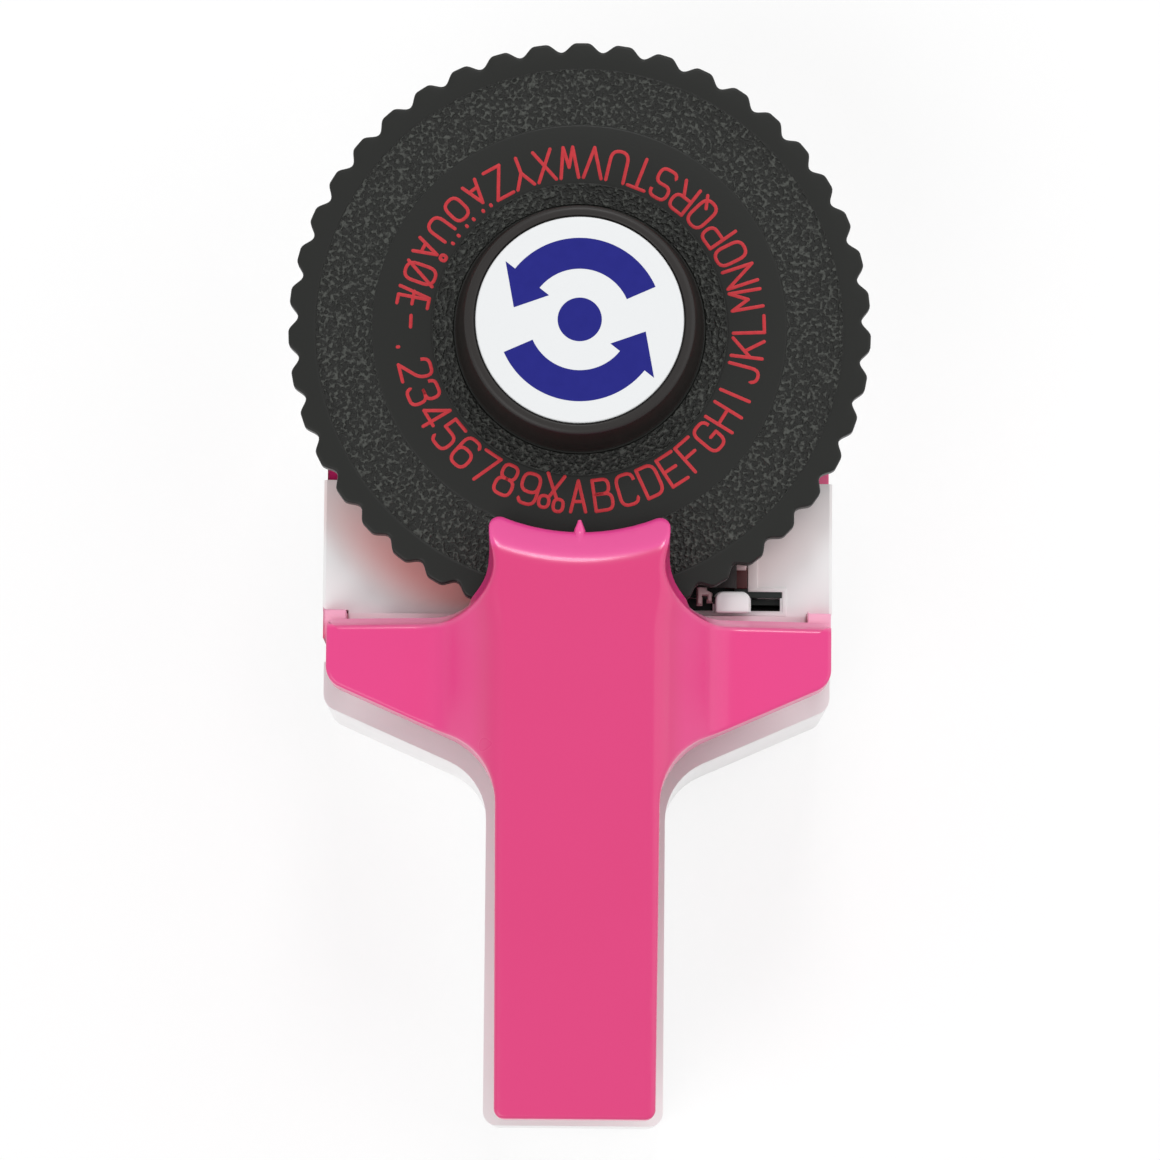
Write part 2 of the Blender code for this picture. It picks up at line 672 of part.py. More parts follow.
def make_lower_housing(material):
    """The white tub: a floor, walls, three pockets, side recesses and the hatch for the tape."""
    outside = [(body_outline(BODY_EDGE), 0), (body_outline(), BODY_EDGE), (body_outline(), housing_top)]
    obj = solid("lower_housing", material, bevelled_mesh("lower_housing", outside))
    grip_low = (-BODY_HALF - CUT, BODY_TAIL_Y - CUT, tub_top)
    grip_high = (BODY_HALF + CUT, deck_back_y, housing_top + CUT)
    cut(obj, "grip_step", box_mesh("grip_step", grip_low, grip_high))

    pocket_top = housing_top + CUT
    front_back_y = magazine_front_y + CROSS_WALL
    cross_front_y = magazine_back_y
    for level, low, high, inset, side in (
        ("low", FLOOR_TOP, low_pocket_top, HOUSING_WALL, BODY_HALF - HOUSING_WALL),
        ("high", low_pocket_top - GAP, pocket_top, HOUSING_WALL, pocket_half),
    ):
        front = body_outline(inset, side, back_y=front_back_y)
        cut(obj, f"front_pocket_{level}", prism_mesh("front_pocket", front, low, high))
        back = body_outline(inset, side, front_y=deck_back_y - CROSS_WALL)
        cut(obj, f"grip_pocket_{level}", prism_mesh("grip_pocket", back, low, high))
    magazine = rectangle(magazine_left_x, cross_front_y, pocket_half, magazine_front_y)
    cut(obj, "magazine", prism_mesh("magazine", magazine, FLOOR_TOP, pocket_top))
    side_pocket = rectangle(-pocket_half, cross_front_y, side_pocket_x, magazine_front_y)
    cut(obj, "side_pocket", prism_mesh("side_pocket", side_pocket, FLOOR_TOP, pocket_top))
    rail = rectangle(slot_left_x - 2 * GAP, slot_back_y - GAP, pocket_half, cross_front_y + GAP)
    cut(obj, "rail_pocket", prism_mesh("rail_pocket", rail, rail_low - GAP, pocket_top))

    for side_name, side in (("right", 1), ("left", -1)):
        x_range = sorted((side * recess_half, side * (BODY_HALF + CUT)))
        low = (x_range[0], recess_back_y, recess_low)
        high = (x_range[1], recess_front_y, pocket_top)
        cut(obj, f"{side_name}_recess", box_mesh("recess", low, high))
        start = (side * (pocket_half - CUT), pivot_y, pivot_z)
        end = (side * (recess_half + CUT), pivot_y, pivot_z)
        cut(obj, f"{side_name}_pin_hole", rod_mesh("pin_hole", PIN_RADIUS + RUN_GAP, start, end))

    hatch = rectangle(hatch_left_x, magazine_back_y, guide_left_x - GAP, magazine_front_y)
    cut(obj, "hatch", prism_mesh("hatch", hatch, -CUT, FLOOR_TOP + CUT))
    door_low = (door_left_x - GAP, door_back_y - GAP)
    door_high = (door_right_x + GAP, door_front_y + 2 * GAP)
    recess = rectangle(*door_low, *door_high, DOOR_CORNER)
    cut(obj, "door_recess", prism_mesh("door_recess", recess, -CUT, DOOR_THICKNESS + GAP))
    barrel_low = (barrel_left_x - GAP, barrel_y - BARREL_RADIUS - 2 * GAP, -CUT)
    barrel_high = (barrel_right_x + GAP, barrel_y + BARREL_FRONT_ROOM, FLOOR_TOP + CUT)
    cut(obj, "barrel_slot", box_mesh("barrel_slot", barrel_low, barrel_high))
    neck_low = (barrel_low[0], door_front_y - GAP, -CUT)
    neck_high = (barrel_high[0], barrel_y, DOOR_THICKNESS + GAP)
    cut(obj, "neck_slot", box_mesh("neck_slot", neck_low, neck_high))
    pin_ends = [(x, barrel_y, BARREL_Z) for x in (pin_left_x - GAP, pin_right_x + GAP)]
    cut(obj, "door_pin_hole", rod_mesh("door_pin_hole", DOOR_PIN_RADIUS + RUN_GAP, *pin_ends))
    nib_half, nib_depth, nib_height = DOOR_NIB
    nib_y = door_back_y + DOOR_NIB_BACK
    nib_low = (-nib_half / 2 - GAP, nib_y - nib_depth / 2 - 2 * GAP, 0)
    nib_high = (nib_half / 2 + GAP, nib_y + nib_depth / 2 + 2 * GAP, DOOR_THICKNESS + nib_height + GAP)
    cut(obj, "nib_seat", box_mesh("nib_seat", nib_low, nib_high))

    for place, (x, y) in {**deck_screws, **grip_screws}.items():
        counterbore = rod_mesh(
            "counterbore", SCREW_HEAD_RADIUS + GAP, (x, y, -CUT), (x, y, SCREW_SINK + SCREW_HEAD_HEIGHT + GAP)
        )
        cut(obj, f"{place}_counterbore", counterbore)
        hole = rod_mesh("hole", SCREW_SHANK_RADIUS + RUN_GAP, (x, y, 0), (x, y, FLOOR_TOP + CUT))
        cut(obj, f"{place}_hole", hole)
    return obj


def screw_post(obj, place, x, y, top):
    """A post under a plate, down to just above the floor, with a bore for its screw."""
    low = FLOOR_TOP + GAP
    join(obj, f"{place}_post", rod_mesh("post", POST_RADIUS, (x, y, low), (x, y, top)))
    bore = rod_mesh("bore", SCREW_SHANK_RADIUS + RUN_GAP, (x, y, low - CUT), (x, y, low + POST_BORE_DEPTH))
    cut(obj, f"{place}_bore", bore)


def make_top_deck(material):
    """The white plate under the dial, with its lip, the spindle's boss and the feed slot."""
    outline = body_outline(back_y=deck_back_y)
    top = body_outline(DECK_EDGE, back_y=deck_back_y)
    levels = [(outline, deck_under), (outline, DECK_TOP - DECK_EDGE), (top, DECK_TOP)]
    obj = solid("top_deck", material, bevelled_mesh("top_deck", levels))
    for side_name, side in (("right", 1), ("left", -1)):
        x_range = sorted((side * deck_notch_half, side * (BODY_HALF + CUT)))
        for notch, y_low, y_high in (
            ("lug_notch", deck_back_y - CUT, deck_lug_y),
            ("boss_window", deck_boss_show_y, recess_front_y),
        ):
            low = (x_range[0], y_low, deck_under - CUT)
            high = (x_range[1], y_high, DECK_TOP + CUT)
            cut(obj, f"{side_name}_{notch}", box_mesh(notch, low, high))
    lip_half = deck_notch_half - GAP
    lip_low = (-lip_half, deck_back_y + RUN_GAP, deck_under + GAP)
    lip_high = (lip_half, deck_back_y + RUN_GAP + LIP_DEPTH, DECK_TOP + LIP_HEIGHT)
    join(obj, "lip", box_mesh("lip", lip_low, lip_high))
    boss_ends = ((0, 0, deck_under + GAP), (0, 0, boss_top))
    join(obj, "spindle_boss", rod_mesh("spindle_boss", SPINDLE_BOSS_RADIUS, *boss_ends, ROUND_STEPS))
    bore_ends = ((0, 0, deck_under - CUT), (0, 0, boss_top + CUT))
    cut(obj, "spindle_bore", rod_mesh("spindle_bore", SPINDLE_RADIUS + RUN_GAP, *bore_ends))
    for place, (x, y) in deck_screws.items():
        screw_post(obj, place, x, y, DECK_TOP - GAP)
    slot = rectangle(slot_left_x, slot_back_y, slot_right_x, slot_front_y)
    cut(obj, "feed_slot", prism_mesh("feed_slot", slot, deck_under - CUT, DECK_TOP + CUT))
    chute_left_x = tape_riser_x - TAPE_BEND
    chute = rectangle(chute_left_x, slot_front_y - GAP, guide_right_x + GAP, magazine_front_y)
    cut(obj, "chute", prism_mesh("chute", chute, deck_under - CUT, DECK_TOP + CUT))
    return obj


def make_grip_plate(material):
    """The white plate that closes the tub under the lever, with the post that centres the spring."""
    half = [
        (recess_half, deck_back_y - GAP, 0),
        (recess_half, recess_back_y, 0),
        (BODY_HALF, recess_back_y, 0),
    ]
    half += grip_corners(0, BODY_HALF, BODY_CORNER_RADIUS, *body_back)
    outline = rounded(mirrored(half))
    obj = solid("grip_plate", material, prism_mesh("grip_plate", outline, grip_top - GRIP_PLATE, grip_top))
    post_ends = ((0, spring_y, grip_top - GAP), (0, spring_y, grip_top + SPRING_POST_HEIGHT))
    join(obj, "spring_post", rod_mesh("spring_post", SPRING_POST_RADIUS, *post_ends))
    for place, (x, y) in grip_screws.items():
        screw_post(obj, place, x, y, grip_top - GAP)
    return obj


def make_case_screws(material):
    for place, (x, y) in {**deck_screws, **grip_screws}.items():
        screw(f"case_screw_{place}", material, (x, y, SCREW_SINK), (x, y, SCREW_SINK + CASE_SCREW_LENGTH))


def make_spindle(material, screw_material):
    """The dial's axle, flanged under the deck, with the screw and washer that hold the dial on it."""
    flange_low = deck_under - GAP - SPINDLE_FLANGE
    flange_ends = ((0, 0, flange_low), (0, 0, flange_low + SPINDLE_FLANGE))
    spindle = solid("dial_spindle", material, rod_mesh("dial_spindle", SPINDLE_FLANGE_RADIUS, *flange_ends))
    shaft_ends = ((0, 0, flange_low + GAP), (0, 0, sleeve_top))
    join(spindle, "shaft", rod_mesh("shaft", SPINDLE_RADIUS, *shaft_ends))
    tapping_ends = ((0, 0, sleeve_top - SPINDLE_TAPPING_DEPTH), (0, 0, sleeve_top + CUT))
    cut(spindle, "tapping", rod_mesh("tapping", SCREW_SHANK_RADIUS + RUN_GAP, *tapping_ends))
    washer = solid(
        "spindle_washer",
        screw_material,
        rod_mesh("spindle_washer", WASHER_RADIUS, (0, 0, washer_low), (0, 0, washer_top)),
    )
    hole_ends = ((0, 0, washer_low - CUT), (0, 0, washer_top + CUT))
    cut(washer, "hole", rod_mesh("hole", SCREW_SHANK_RADIUS + RUN_GAP, *hole_ends))
    head = washer_top + GAP + SCREW_HEAD_HEIGHT
    screw("spindle_screw", screw_material, (0, 0, head), (0, 0, sleeve_top - SPINDLE_TAPPING_DEPTH + GAP))


def tooth_outline(radius, depth, count):
    """The dial's rim: flat-topped teeth with a tooth centred at the far side of the pointer."""
    points = []
    for tooth in range(count):
        middle = math.pi / 2 + tooth * pitch_angle
        for share, reach in (
            (-(1 - TOOTH_ROOT_SHARE) / 2, radius - depth),
            (-TOOTH_TOP_SHARE / 2, radius),
            (0, radius),
            (TOOTH_TOP_SHARE / 2, radius),
            ((1 - TOOTH_ROOT_SHARE) / 2, radius - depth),
        ):
            angle = middle + share * pitch_angle
            points.append(Vector((reach * math.cos(angle), reach * math.sin(angle))))
    return points


def make_letter_dial(material):
    """The black toothed disc that carries the letters, with the sleeve that turns on the spindle."""
    rim = tooth_outline(DIAL_RADIUS, TOOTH_DEPTH, TOOTH_COUNT)
    obj = solid("letter_dial", material, prism_mesh("letter_dial", rim, dial_low, dial_top))
    sleeve_ends = ((0, 0, matrix_top + GAP), (0, 0, sleeve_top))
    join(obj, "sleeve", rod_mesh("sleeve", DIAL_SLEEVE_RADIUS, *sleeve_ends, ROUND_STEPS))
    for name, (inner, outer) in (("outer_band", outer_band), ("inner_band", inner_band)):
        ring = [
            (outer, dial_top + CUT),
            (outer, dial_top - RELIEF_DEPTH),
            (inner, dial_top - RELIEF_DEPTH),
            (inner, dial_top + CUT),
        ]
        cut(obj, name, turned_mesh(name, ring))
    bore_ends = ((0, 0, matrix_top), (0, 0, sleeve_top + CUT))
    cut(obj, "bore", rod_mesh("bore", SPINDLE_RADIUS + RUN_GAP, *bore_ends))
    return obj


def make_matrix_disc(material):
    """The lower disc: its rim is cut into one springy finger a letter."""
    inner = matrix_radius - MATRIX_SLOT_DEPTH
    points = []
    for finger in range(TOOTH_COUNT):
        middle = -math.pi / 2 + finger * pitch_angle
        half_slot = MATRIX_SLOT_WIDTH / 2
        for radius, side in ((inner, -1), (matrix_radius, -1), (matrix_radius, 1), (inner, 1)):
            angle = middle + side * (pitch_angle / 2 - half_slot / radius)
            points.append(Vector((radius * math.cos(angle), radius * math.sin(angle))))
    obj = solid("matrix_disc", material, prism_mesh("matrix_disc", points, matrix_low, matrix_top))
    bore_ends = ((0, 0, matrix_low - CUT), (0, 0, matrix_top + CUT))
    cut(obj, "bore", rod_mesh("bore", SPINDLE_RADIUS + RUN_GAP, *bore_ends))
    return obj


def make_dial_knob(material):
    """The raised black hub over the spindle's screw, hollow below and recessed for the badge."""
    recess_low = knob_top - BADGE_THICKNESS
    edge = KNOB_EDGE
    ceiling = recess_low - KNOB_CEILING
    bore = KNOB_TOP_RADIUS - KNOB_WALL
    profile = [
        (0, recess_low),
        (badge_radius + GAP, recess_low),
        (badge_radius + GAP, knob_top),
        (KNOB_TOP_RADIUS - edge, knob_top),
        (KNOB_TOP_RADIUS - edge * EDGE_SHARE, knob_top - edge * EDGE_SHARE),
        (KNOB_TOP_RADIUS, knob_top - edge),
        (knob_base_radius, knob_low),
        (bore, knob_low),
        (bore, ceiling),
        (0, ceiling),
    ]
    return solid("dial_knob", material, turned_mesh("dial_knob", profile))


def make_badge(material):
    ends = ((0, 0, knob_top - BADGE_THICKNESS + GAP), (0, 0, knob_top))
    return solid("badge_disc", material, rod_mesh("badge_disc", badge_radius, *ends, ROUND_STEPS))


def make_cutter_blade(material):
    """The steel blade under the dial at the scissors sign, one place clockwise from the pointer."""
    mesh = box_mesh(
        "cutter_blade",
        (-BLADE_THICKNESS / 2, tape_back_y, dial_low - GAP - BLADE_HEIGHT),
        (BLADE_THICKNESS / 2, tape_front_y, dial_low - GAP),
    )
    mesh.transform(Matrix.Rotation(-pitch_angle, 4, "Z"))
    return solid("cutter_blade", material, mesh)


def make_lever(material):
    """The pink T: a raised spine and lower wings under one skin, open below, with its two arms."""
    obj = solid("press_lever", material, prism_mesh("press_lever", lever_outline(), skirt_z, lever_top))
    inside = prism_mesh("lever_hollow", lever_outline(LEVER_WALL), 0, lever_top - LEVER_WALL)
    hollow = tool("lever_hollow", inside)
    far_x = BODY_HALF + CUT
    for side_name, side in (("right", 1), ("left", -1)):
        for target, radius in ((obj, SADDLE_RADIUS), (hollow, SADDLE_RADIUS + LEVER_WALL)):
            floor = lever_top - radius
            saddle = [Vector((far_x, lever_top)), Vector((far_x, floor)), Vector((saddle_x, floor))]
            saddle += arc((saddle_x, lever_top), radius, 270, 180, SADDLE_STEPS)[1:-1]
            outline = [Vector((side * point.x, point.y)) for point in saddle]
            top = [Vector((side * x, lever_top + CUT)) for x in (saddle_x - radius, far_x)]
            mesh = prism_mesh("saddle", outline + top, BODY_TAIL_Y - CUT, 0, plane="XZ")
            cut(target, f"{side_name}_saddle", mesh)
    combine(obj, "DIFFERENCE", hollow)

    rise = (lever_top - nose_foot_z) + CUT
    slope = (nose_top_radius - nose_front_radius) / (lever_top - nose_foot_z)
    cone_ends = ((0, 0, nose_foot_z), (0, 0, nose_foot_z + rise))
    cone_radius = nose_front_radius + slope * rise
    cone = rod_mesh("nose_cone", nose_front_radius, *cone_ends, ROUND_STEPS * 2, cone_radius)
    cut(obj, "nose_front", cone)

    dial_room = (DIAL_RADIUS + CUT, dial_top + SWING_GAP)
    skirt_low = skirt_z - CUT
    room_ends = ((0, 0, skirt_low), (0, 0, dial_room[1]))
    cut(obj, "dial_room", rod_mesh("dial_room", dial_room[0], *room_ends, ROUND_STEPS))
    squeezed = rod_mesh("dial_room_squeezed", dial_room[0], *room_ends, ROUND_STEPS)
    cut(obj, "dial_room_squeezed", tilted_by_squeeze(squeezed))

    below = [
        (skirt_rise_start_y, skirt_z),
        (skirt_rise_end_y, grip_skirt_z),
        (lever_tail_y - CUT, grip_skirt_z),
        (lever_tail_y - CUT, skirt_low),
        (skirt_rise_start_y, skirt_low),
    ]
    cut(obj, "grip_skirt", prism_mesh("grip_skirt", below, -BODY_HALF, BODY_HALF, plane="YZ"))

    lip_room_low = (-BODY_HALF, wing_front_y + GAP, skirt_low)
    lip_room_high = (BODY_HALF, 0, lip_room_top)
    cut(obj, "lip_room", box_mesh("lip_room", lip_room_low, lip_room_high))

    pocket_low = (-PAD_HALF - GAP, pad_back_y - GAP, skirt_z)
    pocket_high = (PAD_HALF + GAP, pad_front_y + GAP, pad_top + GAP)
    cut(obj, "pad_pocket", box_mesh("pad_pocket", pocket_low, pocket_high))

    under = lever_top - LEVER_WALL
    cup_ends = ((0, spring_y, under - SPRING_CUP_HEIGHT), (0, spring_y, under + GAP))
    join(obj, "spring_cup", rod_mesh("spring_cup", SPRING_POST_RADIUS, *cup_ends))

    tip_y = -nose_front_radius + POINTER_REACH
    base_y = -nose_front_radius - POINTER_RUN
    pointer = [(0, tip_y), (POINTER_HALF, tip_y - POINTER_REACH), (POINTER_HALF, base_y)]
    pointer += [(-x, y) for x, y in reversed(pointer[1:])]
    pointer_low = nose_foot_z + POINTER_FOOT
    join(obj, "pointer", prism_mesh("pointer", pointer, pointer_low, pointer_low + POINTER_HEIGHT))

    arm = [
        (arm_lug_y, arm_top),
        (arm_lug_y, arm_lug_top),
        (arm_lug_back_y, arm_lug_top),
        (arm_lug_back_y, arm_low_back),
    ]
    arm += arc((pivot_y, pivot_z), ARM_BOSS_RADIUS, 270, 450, ARM_BOSS_STEPS)
    outer_x = wing_half - ARM_INSET
    for side_name, side in (("right", 1), ("left", -1)):
        span = sorted((side * outer_x, side * (outer_x - ARM_THICKNESS)))
        join(obj, f"{side_name}_arm", prism_mesh("arm", arm, *span, plane="YZ"))
        bore_ends = [(span[0] - CUT, pivot_y, pivot_z), (span[1] + CUT, pivot_y, pivot_z)]
        cut(obj, f"{side_name}_bore", rod_mesh("bore", PIN_RADIUS + RUN_GAP, *bore_ends))
    return obj


def make_press_pad(material):
    """The pad in the nose that bears on the dial's rim over the letter."""
    mesh = box_mesh("press_pad", (-PAD_HALF, pad_back_y, dial_low), (PAD_HALF, pad_front_y, pad_top))
    obj = solid("press_pad", material, mesh)
    room_ends = ((0, 0, 0), (0, 0, dial_top + SWING_GAP - PAD_PROUD))
    room = rod_mesh("room", DIAL_RADIUS + CUT, *room_ends, ROUND_STEPS)
    cut(obj, "dial_room", room)
    squeezed = rod_mesh("room_squeezed", DIAL_RADIUS + CUT, *room_ends, ROUND_STEPS)
    cut(obj, "dial_room_squeezed", tilted_by_squeeze(squeezed))
    return obj


def make_hinge_pins(material):
    for side_name, side in (("right", 1), ("left", -1)):
        start = (side * (pocket_half - PIN_HOLD), pivot_y, pivot_z)
        end = (side * wing_half, pivot_y, pivot_z)
        solid(f"lever_pin_{side_name}", material, rod_mesh(f"lever_pin_{side_name}", PIN_RADIUS, start, end))


def make_return_spring(material):
    """The coil that lifts the lever: one unbroken tube, wound round its post."""
    low = grip_top + GAP + SPRING_WIRE
    high = lever_top - LEVER_WALL - GAP - SPRING_WIRE
    count = SPRING_TURNS * CURL_POINTS
    points = []
    for step in range(count + 1):
        angle = 2 * math.pi * step / CURL_POINTS
        x = SPRING_RADIUS * math.cos(angle)
        y = spring_y + SPRING_RADIUS * math.sin(angle)
        points.append(Vector((x, y, low + (high - low) * step / count)))
    pitch = (high - low) / SPRING_TURNS
    print(f"return_spring: least gap between curls {1000 * (pitch - 2 * SPRING_WIRE):.2f} mm")
    return solid("return_spring", material, wire_mesh("return_spring", points, SPRING_WIRE))


def wire_mesh(name, points, radius):
    curve = bpy.data.curves.new(name, "CURVE")
    curve.dimensions = "3D"
    curve.bevel_depth = radius
    curve.bevel_resolution = 1
    curve.use_fill_caps = True
    spline = curve.splines.new("POLY")
    spline.points.add(len(points) - 1)
    for target, point in zip(spline.points, points):
        target.co = (*point, 1)
    return applied_curve(name, curve)


def applied_curve(name, curve):
    drawn = bpy.data.objects.new(name, curve)
    cutters.objects.link(drawn)
    return applied(drawn)


def make_tape(material):
    """The part-used roll in the magazine, and the tape's free end: up the chute and under the dial."""
    roll_ends = ((roll_x, tape_back_y, roll_z), (roll_x, tape_front_y, roll_z))
    obj = solid("tape_roll", material, rod_mesh("tape_roll", roll_radius, *roll_ends, ROUND_STEPS))
    bore_ends = ((roll_x, tape_back_y - CUT, roll_z), (roll_x, tape_front_y + CUT, roll_z))
    cut(obj, "bore", rod_mesh("bore", ROLL_BORE, *bore_ends, ROUND_STEPS))

    half = TAPE_THICKNESS / 2
    bend = (tape_riser_x - TAPE_BEND, tape_level - TAPE_BEND)
    outer = [Vector((tape_riser_x + half, roll_z))] + arc(bend, TAPE_BEND + half, 0, 90, BEND_STEPS)
    inner = arc(bend, TAPE_BEND - half, 90, 0, BEND_STEPS) + [Vector((tape_riser_x - half, roll_z))]
    ends = [Vector((TAPE_END_X, tape_level + half)), Vector((TAPE_END_X, tape_level - half))]
    strip = prism_mesh("tape_strip", outer + ends + inner, tape_back_y, tape_front_y, plane="XZ")
    solid("tape_strip", material, strip)
    return obj


def make_tape_guide(material):
    """The dark upright wall that keeps the roll in place and leads the tape up through the deck."""
    lead = GUIDE_LEAD_IN
    side = [
        (guide_left_x, FLOOR_TOP + GAP),
        (guide_right_x, FLOOR_TOP + GAP),
        (guide_right_x, tape_level - lead),
        (guide_right_x - lead, tape_level),
        (guide_left_x + lead, tape_level),
        (guide_left_x, tape_level - lead),
    ]
    mesh = prism_mesh("tape_guide", side, tape_back_y, tape_front_y, plane="XZ")
    return solid("tape_guide", material, mesh)


def make_feed_rail(material):
    """The dark rail under the slot, with a T groove that holds the slider's foot."""
    rail = rectangle(slot_left_x - GAP, slot_back_y, pocket_half - GAP, slot_front_y)
    obj = solid("feed_rail", material, prism_mesh("feed_rail", rail, rail_low, rail_top))
    groove_left_x = tab_left_x - GAP
    foot_low = (groove_left_x, slot_middle_y - FOOT_WIDTH / 2 - RUN_GAP, foot_bottom - RUN_GAP)
    foot_high = (pocket_half + CUT, slot_middle_y + FOOT_WIDTH / 2 + RUN_GAP, foot_top + RUN_GAP)
    cut(obj, "foot_groove", box_mesh("foot_groove", foot_low, foot_high))
    neck_low = (groove_left_x, slot_middle_y - NECK_WIDTH / 2 - RUN_GAP, foot_bottom)
    neck_high = (pocket_half + CUT, slot_middle_y + NECK_WIDTH / 2 + RUN_GAP, rail_top + CUT)
    cut(obj, "neck_groove", box_mesh("neck_groove", neck_low, neck_high))
    return obj


def make_feed_slider(material, finger_material):
    """The white tab that shows beside the dial, and the wire finger with which it draws the tape."""
    right_x = tab_left_x + TAB_WIDTH
    tab_low = rail_top + RUN_GAP
    tab = rectangle(tab_left_x, slot_back_y + GAP, right_x, slot_front_y - GAP, TAB_CORNER)
    obj = solid("feed_slider", material, prism_mesh("feed_slider", tab, tab_low, tab_top))
    middle = slot_middle_y
    neck_low = (tab_left_x, middle - NECK_WIDTH / 2, foot_bottom)
    neck_high = (right_x, middle + NECK_WIDTH / 2, tab_low + GAP)
    join(obj, "neck", box_mesh("neck", neck_low, neck_high))
    foot_low = (tab_left_x, middle - FOOT_WIDTH / 2, foot_bottom)
    foot_high = (right_x, middle + FOOT_WIDTH / 2, foot_top)
    join(obj, "foot", box_mesh("foot", foot_low, foot_high))

    tip_z = dial_low - FINGER_TIP_DROP
    left_x = tab_left_x - FINGER_REACH_X
    root_z = tab_top - SLIDER_ROOT_SHARE * (tab_top - DECK_TOP)
    points = [
        Vector((tab_left_x - GAP, middle, root_z)),
        Vector((left_x + FINGER_RADIUS, middle, root_z)),
        Vector((left_x, middle + FINGER_RADIUS, root_z)),
        Vector((left_x, slot_front_y, root_z)),
        Vector((left_x, slot_front_y + FINGER_RADIUS, tip_z)),
        Vector((left_x, middle + FINGER_REACH_Y, tip_z)),
    ]
    finger = solid("feed_finger", finger_material, wire_mesh("feed_finger", points, FINGER_RADIUS))
    return [obj, finger]


def make_anvil(material):
    """The steel block that backs the finger under the pointer."""
    half_x = ANVIL_SIZE[0] / 2
    half_y = ANVIL_SIZE[1] / 2
    low = (-half_x, tape_centre_y - half_y, DECK_TOP + GAP)
    high = (half_x, tape_centre_y + half_y, matrix_low - GAP)
    return solid("anvil_block", material, box_mesh("anvil_block", low, high))


def make_click_spring(material, rivet_material):
    """The leaf whose bump the dial's fingers click over, riveted to the deck."""
    low = DECK_TOP + GAP
    peak = matrix_low - GAP
    half = LEAF_THICKNESS
    top = [
        (0, low + half),
        (LEAF_FLAT, low + half),
        (leaf_length - LEAF_BUMP, peak),
        (leaf_length - LEAF_BUMP / 2, peak),
        (leaf_length, peak - LEAF_DROP),
    ]
    bottom = [(x, z - half) for x, z in reversed(top)]
    leaf = prism_mesh("click_spring", top + bottom, -LEAF_WIDTH / 2, LEAF_WIDTH / 2, plane="XZ")
    heading = math.atan2(leaf_start[1], leaf_start[0])
    place = Matrix.Translation((*leaf_start, 0)) @ Matrix.Rotation(heading, 4, "Z")
    leaf.transform(place)
    obj = solid("click_spring", material, leaf)
    middle = place @ Vector((LEAF_FLAT / 2, 0, 0))
    hole_ends = ((middle.x, middle.y, DECK_TOP), (middle.x, middle.y, peak))
    cut(obj, "rivet_hole", rod_mesh("rivet_hole", SCREW_SHANK_RADIUS + RUN_GAP, *hole_ends))
    head_low = low + half + GAP
    head_ends = ((middle.x, middle.y, head_low), (middle.x, middle.y, head_low + LEAF_THICKNESS))
    rivet = solid("click_spring_rivet", rivet_material, rod_mesh("rivet", SCREW_SHANK_RADIUS * 2, *head_ends))
    shank_ends = ((middle.x, middle.y, DECK_TOP + GAP), (middle.x, middle.y, head_low + GAP / 2))
    join(rivet, "shank", rod_mesh("shank", SCREW_SHANK_RADIUS, *shank_ends))
    return obj


def make_tape_door(material, pin_material):
    """The hatch under the magazine, on a pin along its front edge, with a snap nib at the back."""
    plate = rectangle(door_left_x, door_back_y, door_right_x, door_front_y, DOOR_CORNER)
    obj = solid("tape_door", material, prism_mesh("tape_door", plate, 0, DOOR_THICKNESS))
    neck_low = (barrel_left_x, door_front_y - GAP, 0)
    neck_high = (barrel_right_x, barrel_y, DOOR_THICKNESS)
    join(obj, "neck", box_mesh("neck", neck_low, neck_high))
    barrel_ends = [(x, barrel_y, BARREL_Z) for x in (barrel_left_x, barrel_right_x)]
    join(obj, "barrel", rod_mesh("barrel", BARREL_RADIUS, *barrel_ends))
    bore_ends = [(barrel_left_x - CUT, barrel_y, BARREL_Z), (barrel_right_x + CUT, barrel_y, BARREL_Z)]
    cut(obj, "bore", rod_mesh("bore", DOOR_PIN_RADIUS + RUN_GAP, *bore_ends))
    nib_width, nib_depth, nib_height = DOOR_NIB
    nib_y = door_back_y + DOOR_NIB_BACK
    nib_low = (-nib_width / 2, nib_y - nib_depth / 2, DOOR_THICKNESS - GAP)
    nib_high = (nib_width / 2, nib_y + nib_depth / 2, DOOR_THICKNESS + nib_height)
    join(obj, "nib", box_mesh("nib", nib_low, nib_high))
    pull_ends = ((0, door_back_y, -CUT), (0, door_back_y, PULL_DEPTH))
    cut(obj, "pull", rod_mesh("pull", PULL_RADIUS, *pull_ends))
    pin_ends = [(x, barrel_y, BARREL_Z) for x in (pin_left_x, pin_right_x)]
    solid("door_pin", pin_material, rod_mesh("door_pin", DOOR_PIN_RADIUS, *pin_ends))
    return obj


def on_axis(name, place, pieces):
    """Hangs moving pieces from an empty on their joint's axis, and leaves them where they are."""
    axis = bpy.data.objects.new(name, None)
    axis.empty_display_size = SPINDLE_RADIUS
    axis.location = place
    parts.objects.link(axis)
    for piece in pieces:
        piece.parent = axis
        piece.matrix_parent_inverse = Matrix.Translation(place).inverted()


def make_body(white, dark, steel):
    """Everything that stays still: shells, screws, pins, axle, rail, guide, anvil and click spring."""
    make_lower_housing(white)
    make_top_deck(white)
    make_grip_plate(white)
    make_case_screws(steel)
    make_spindle(white, steel)
    make_hinge_pins(steel)
    make_return_spring(steel)
    make_tape_guide(dark)
    make_feed_rail(dark)
    make_anvil(steel)
    make_click_spring(steel, steel)


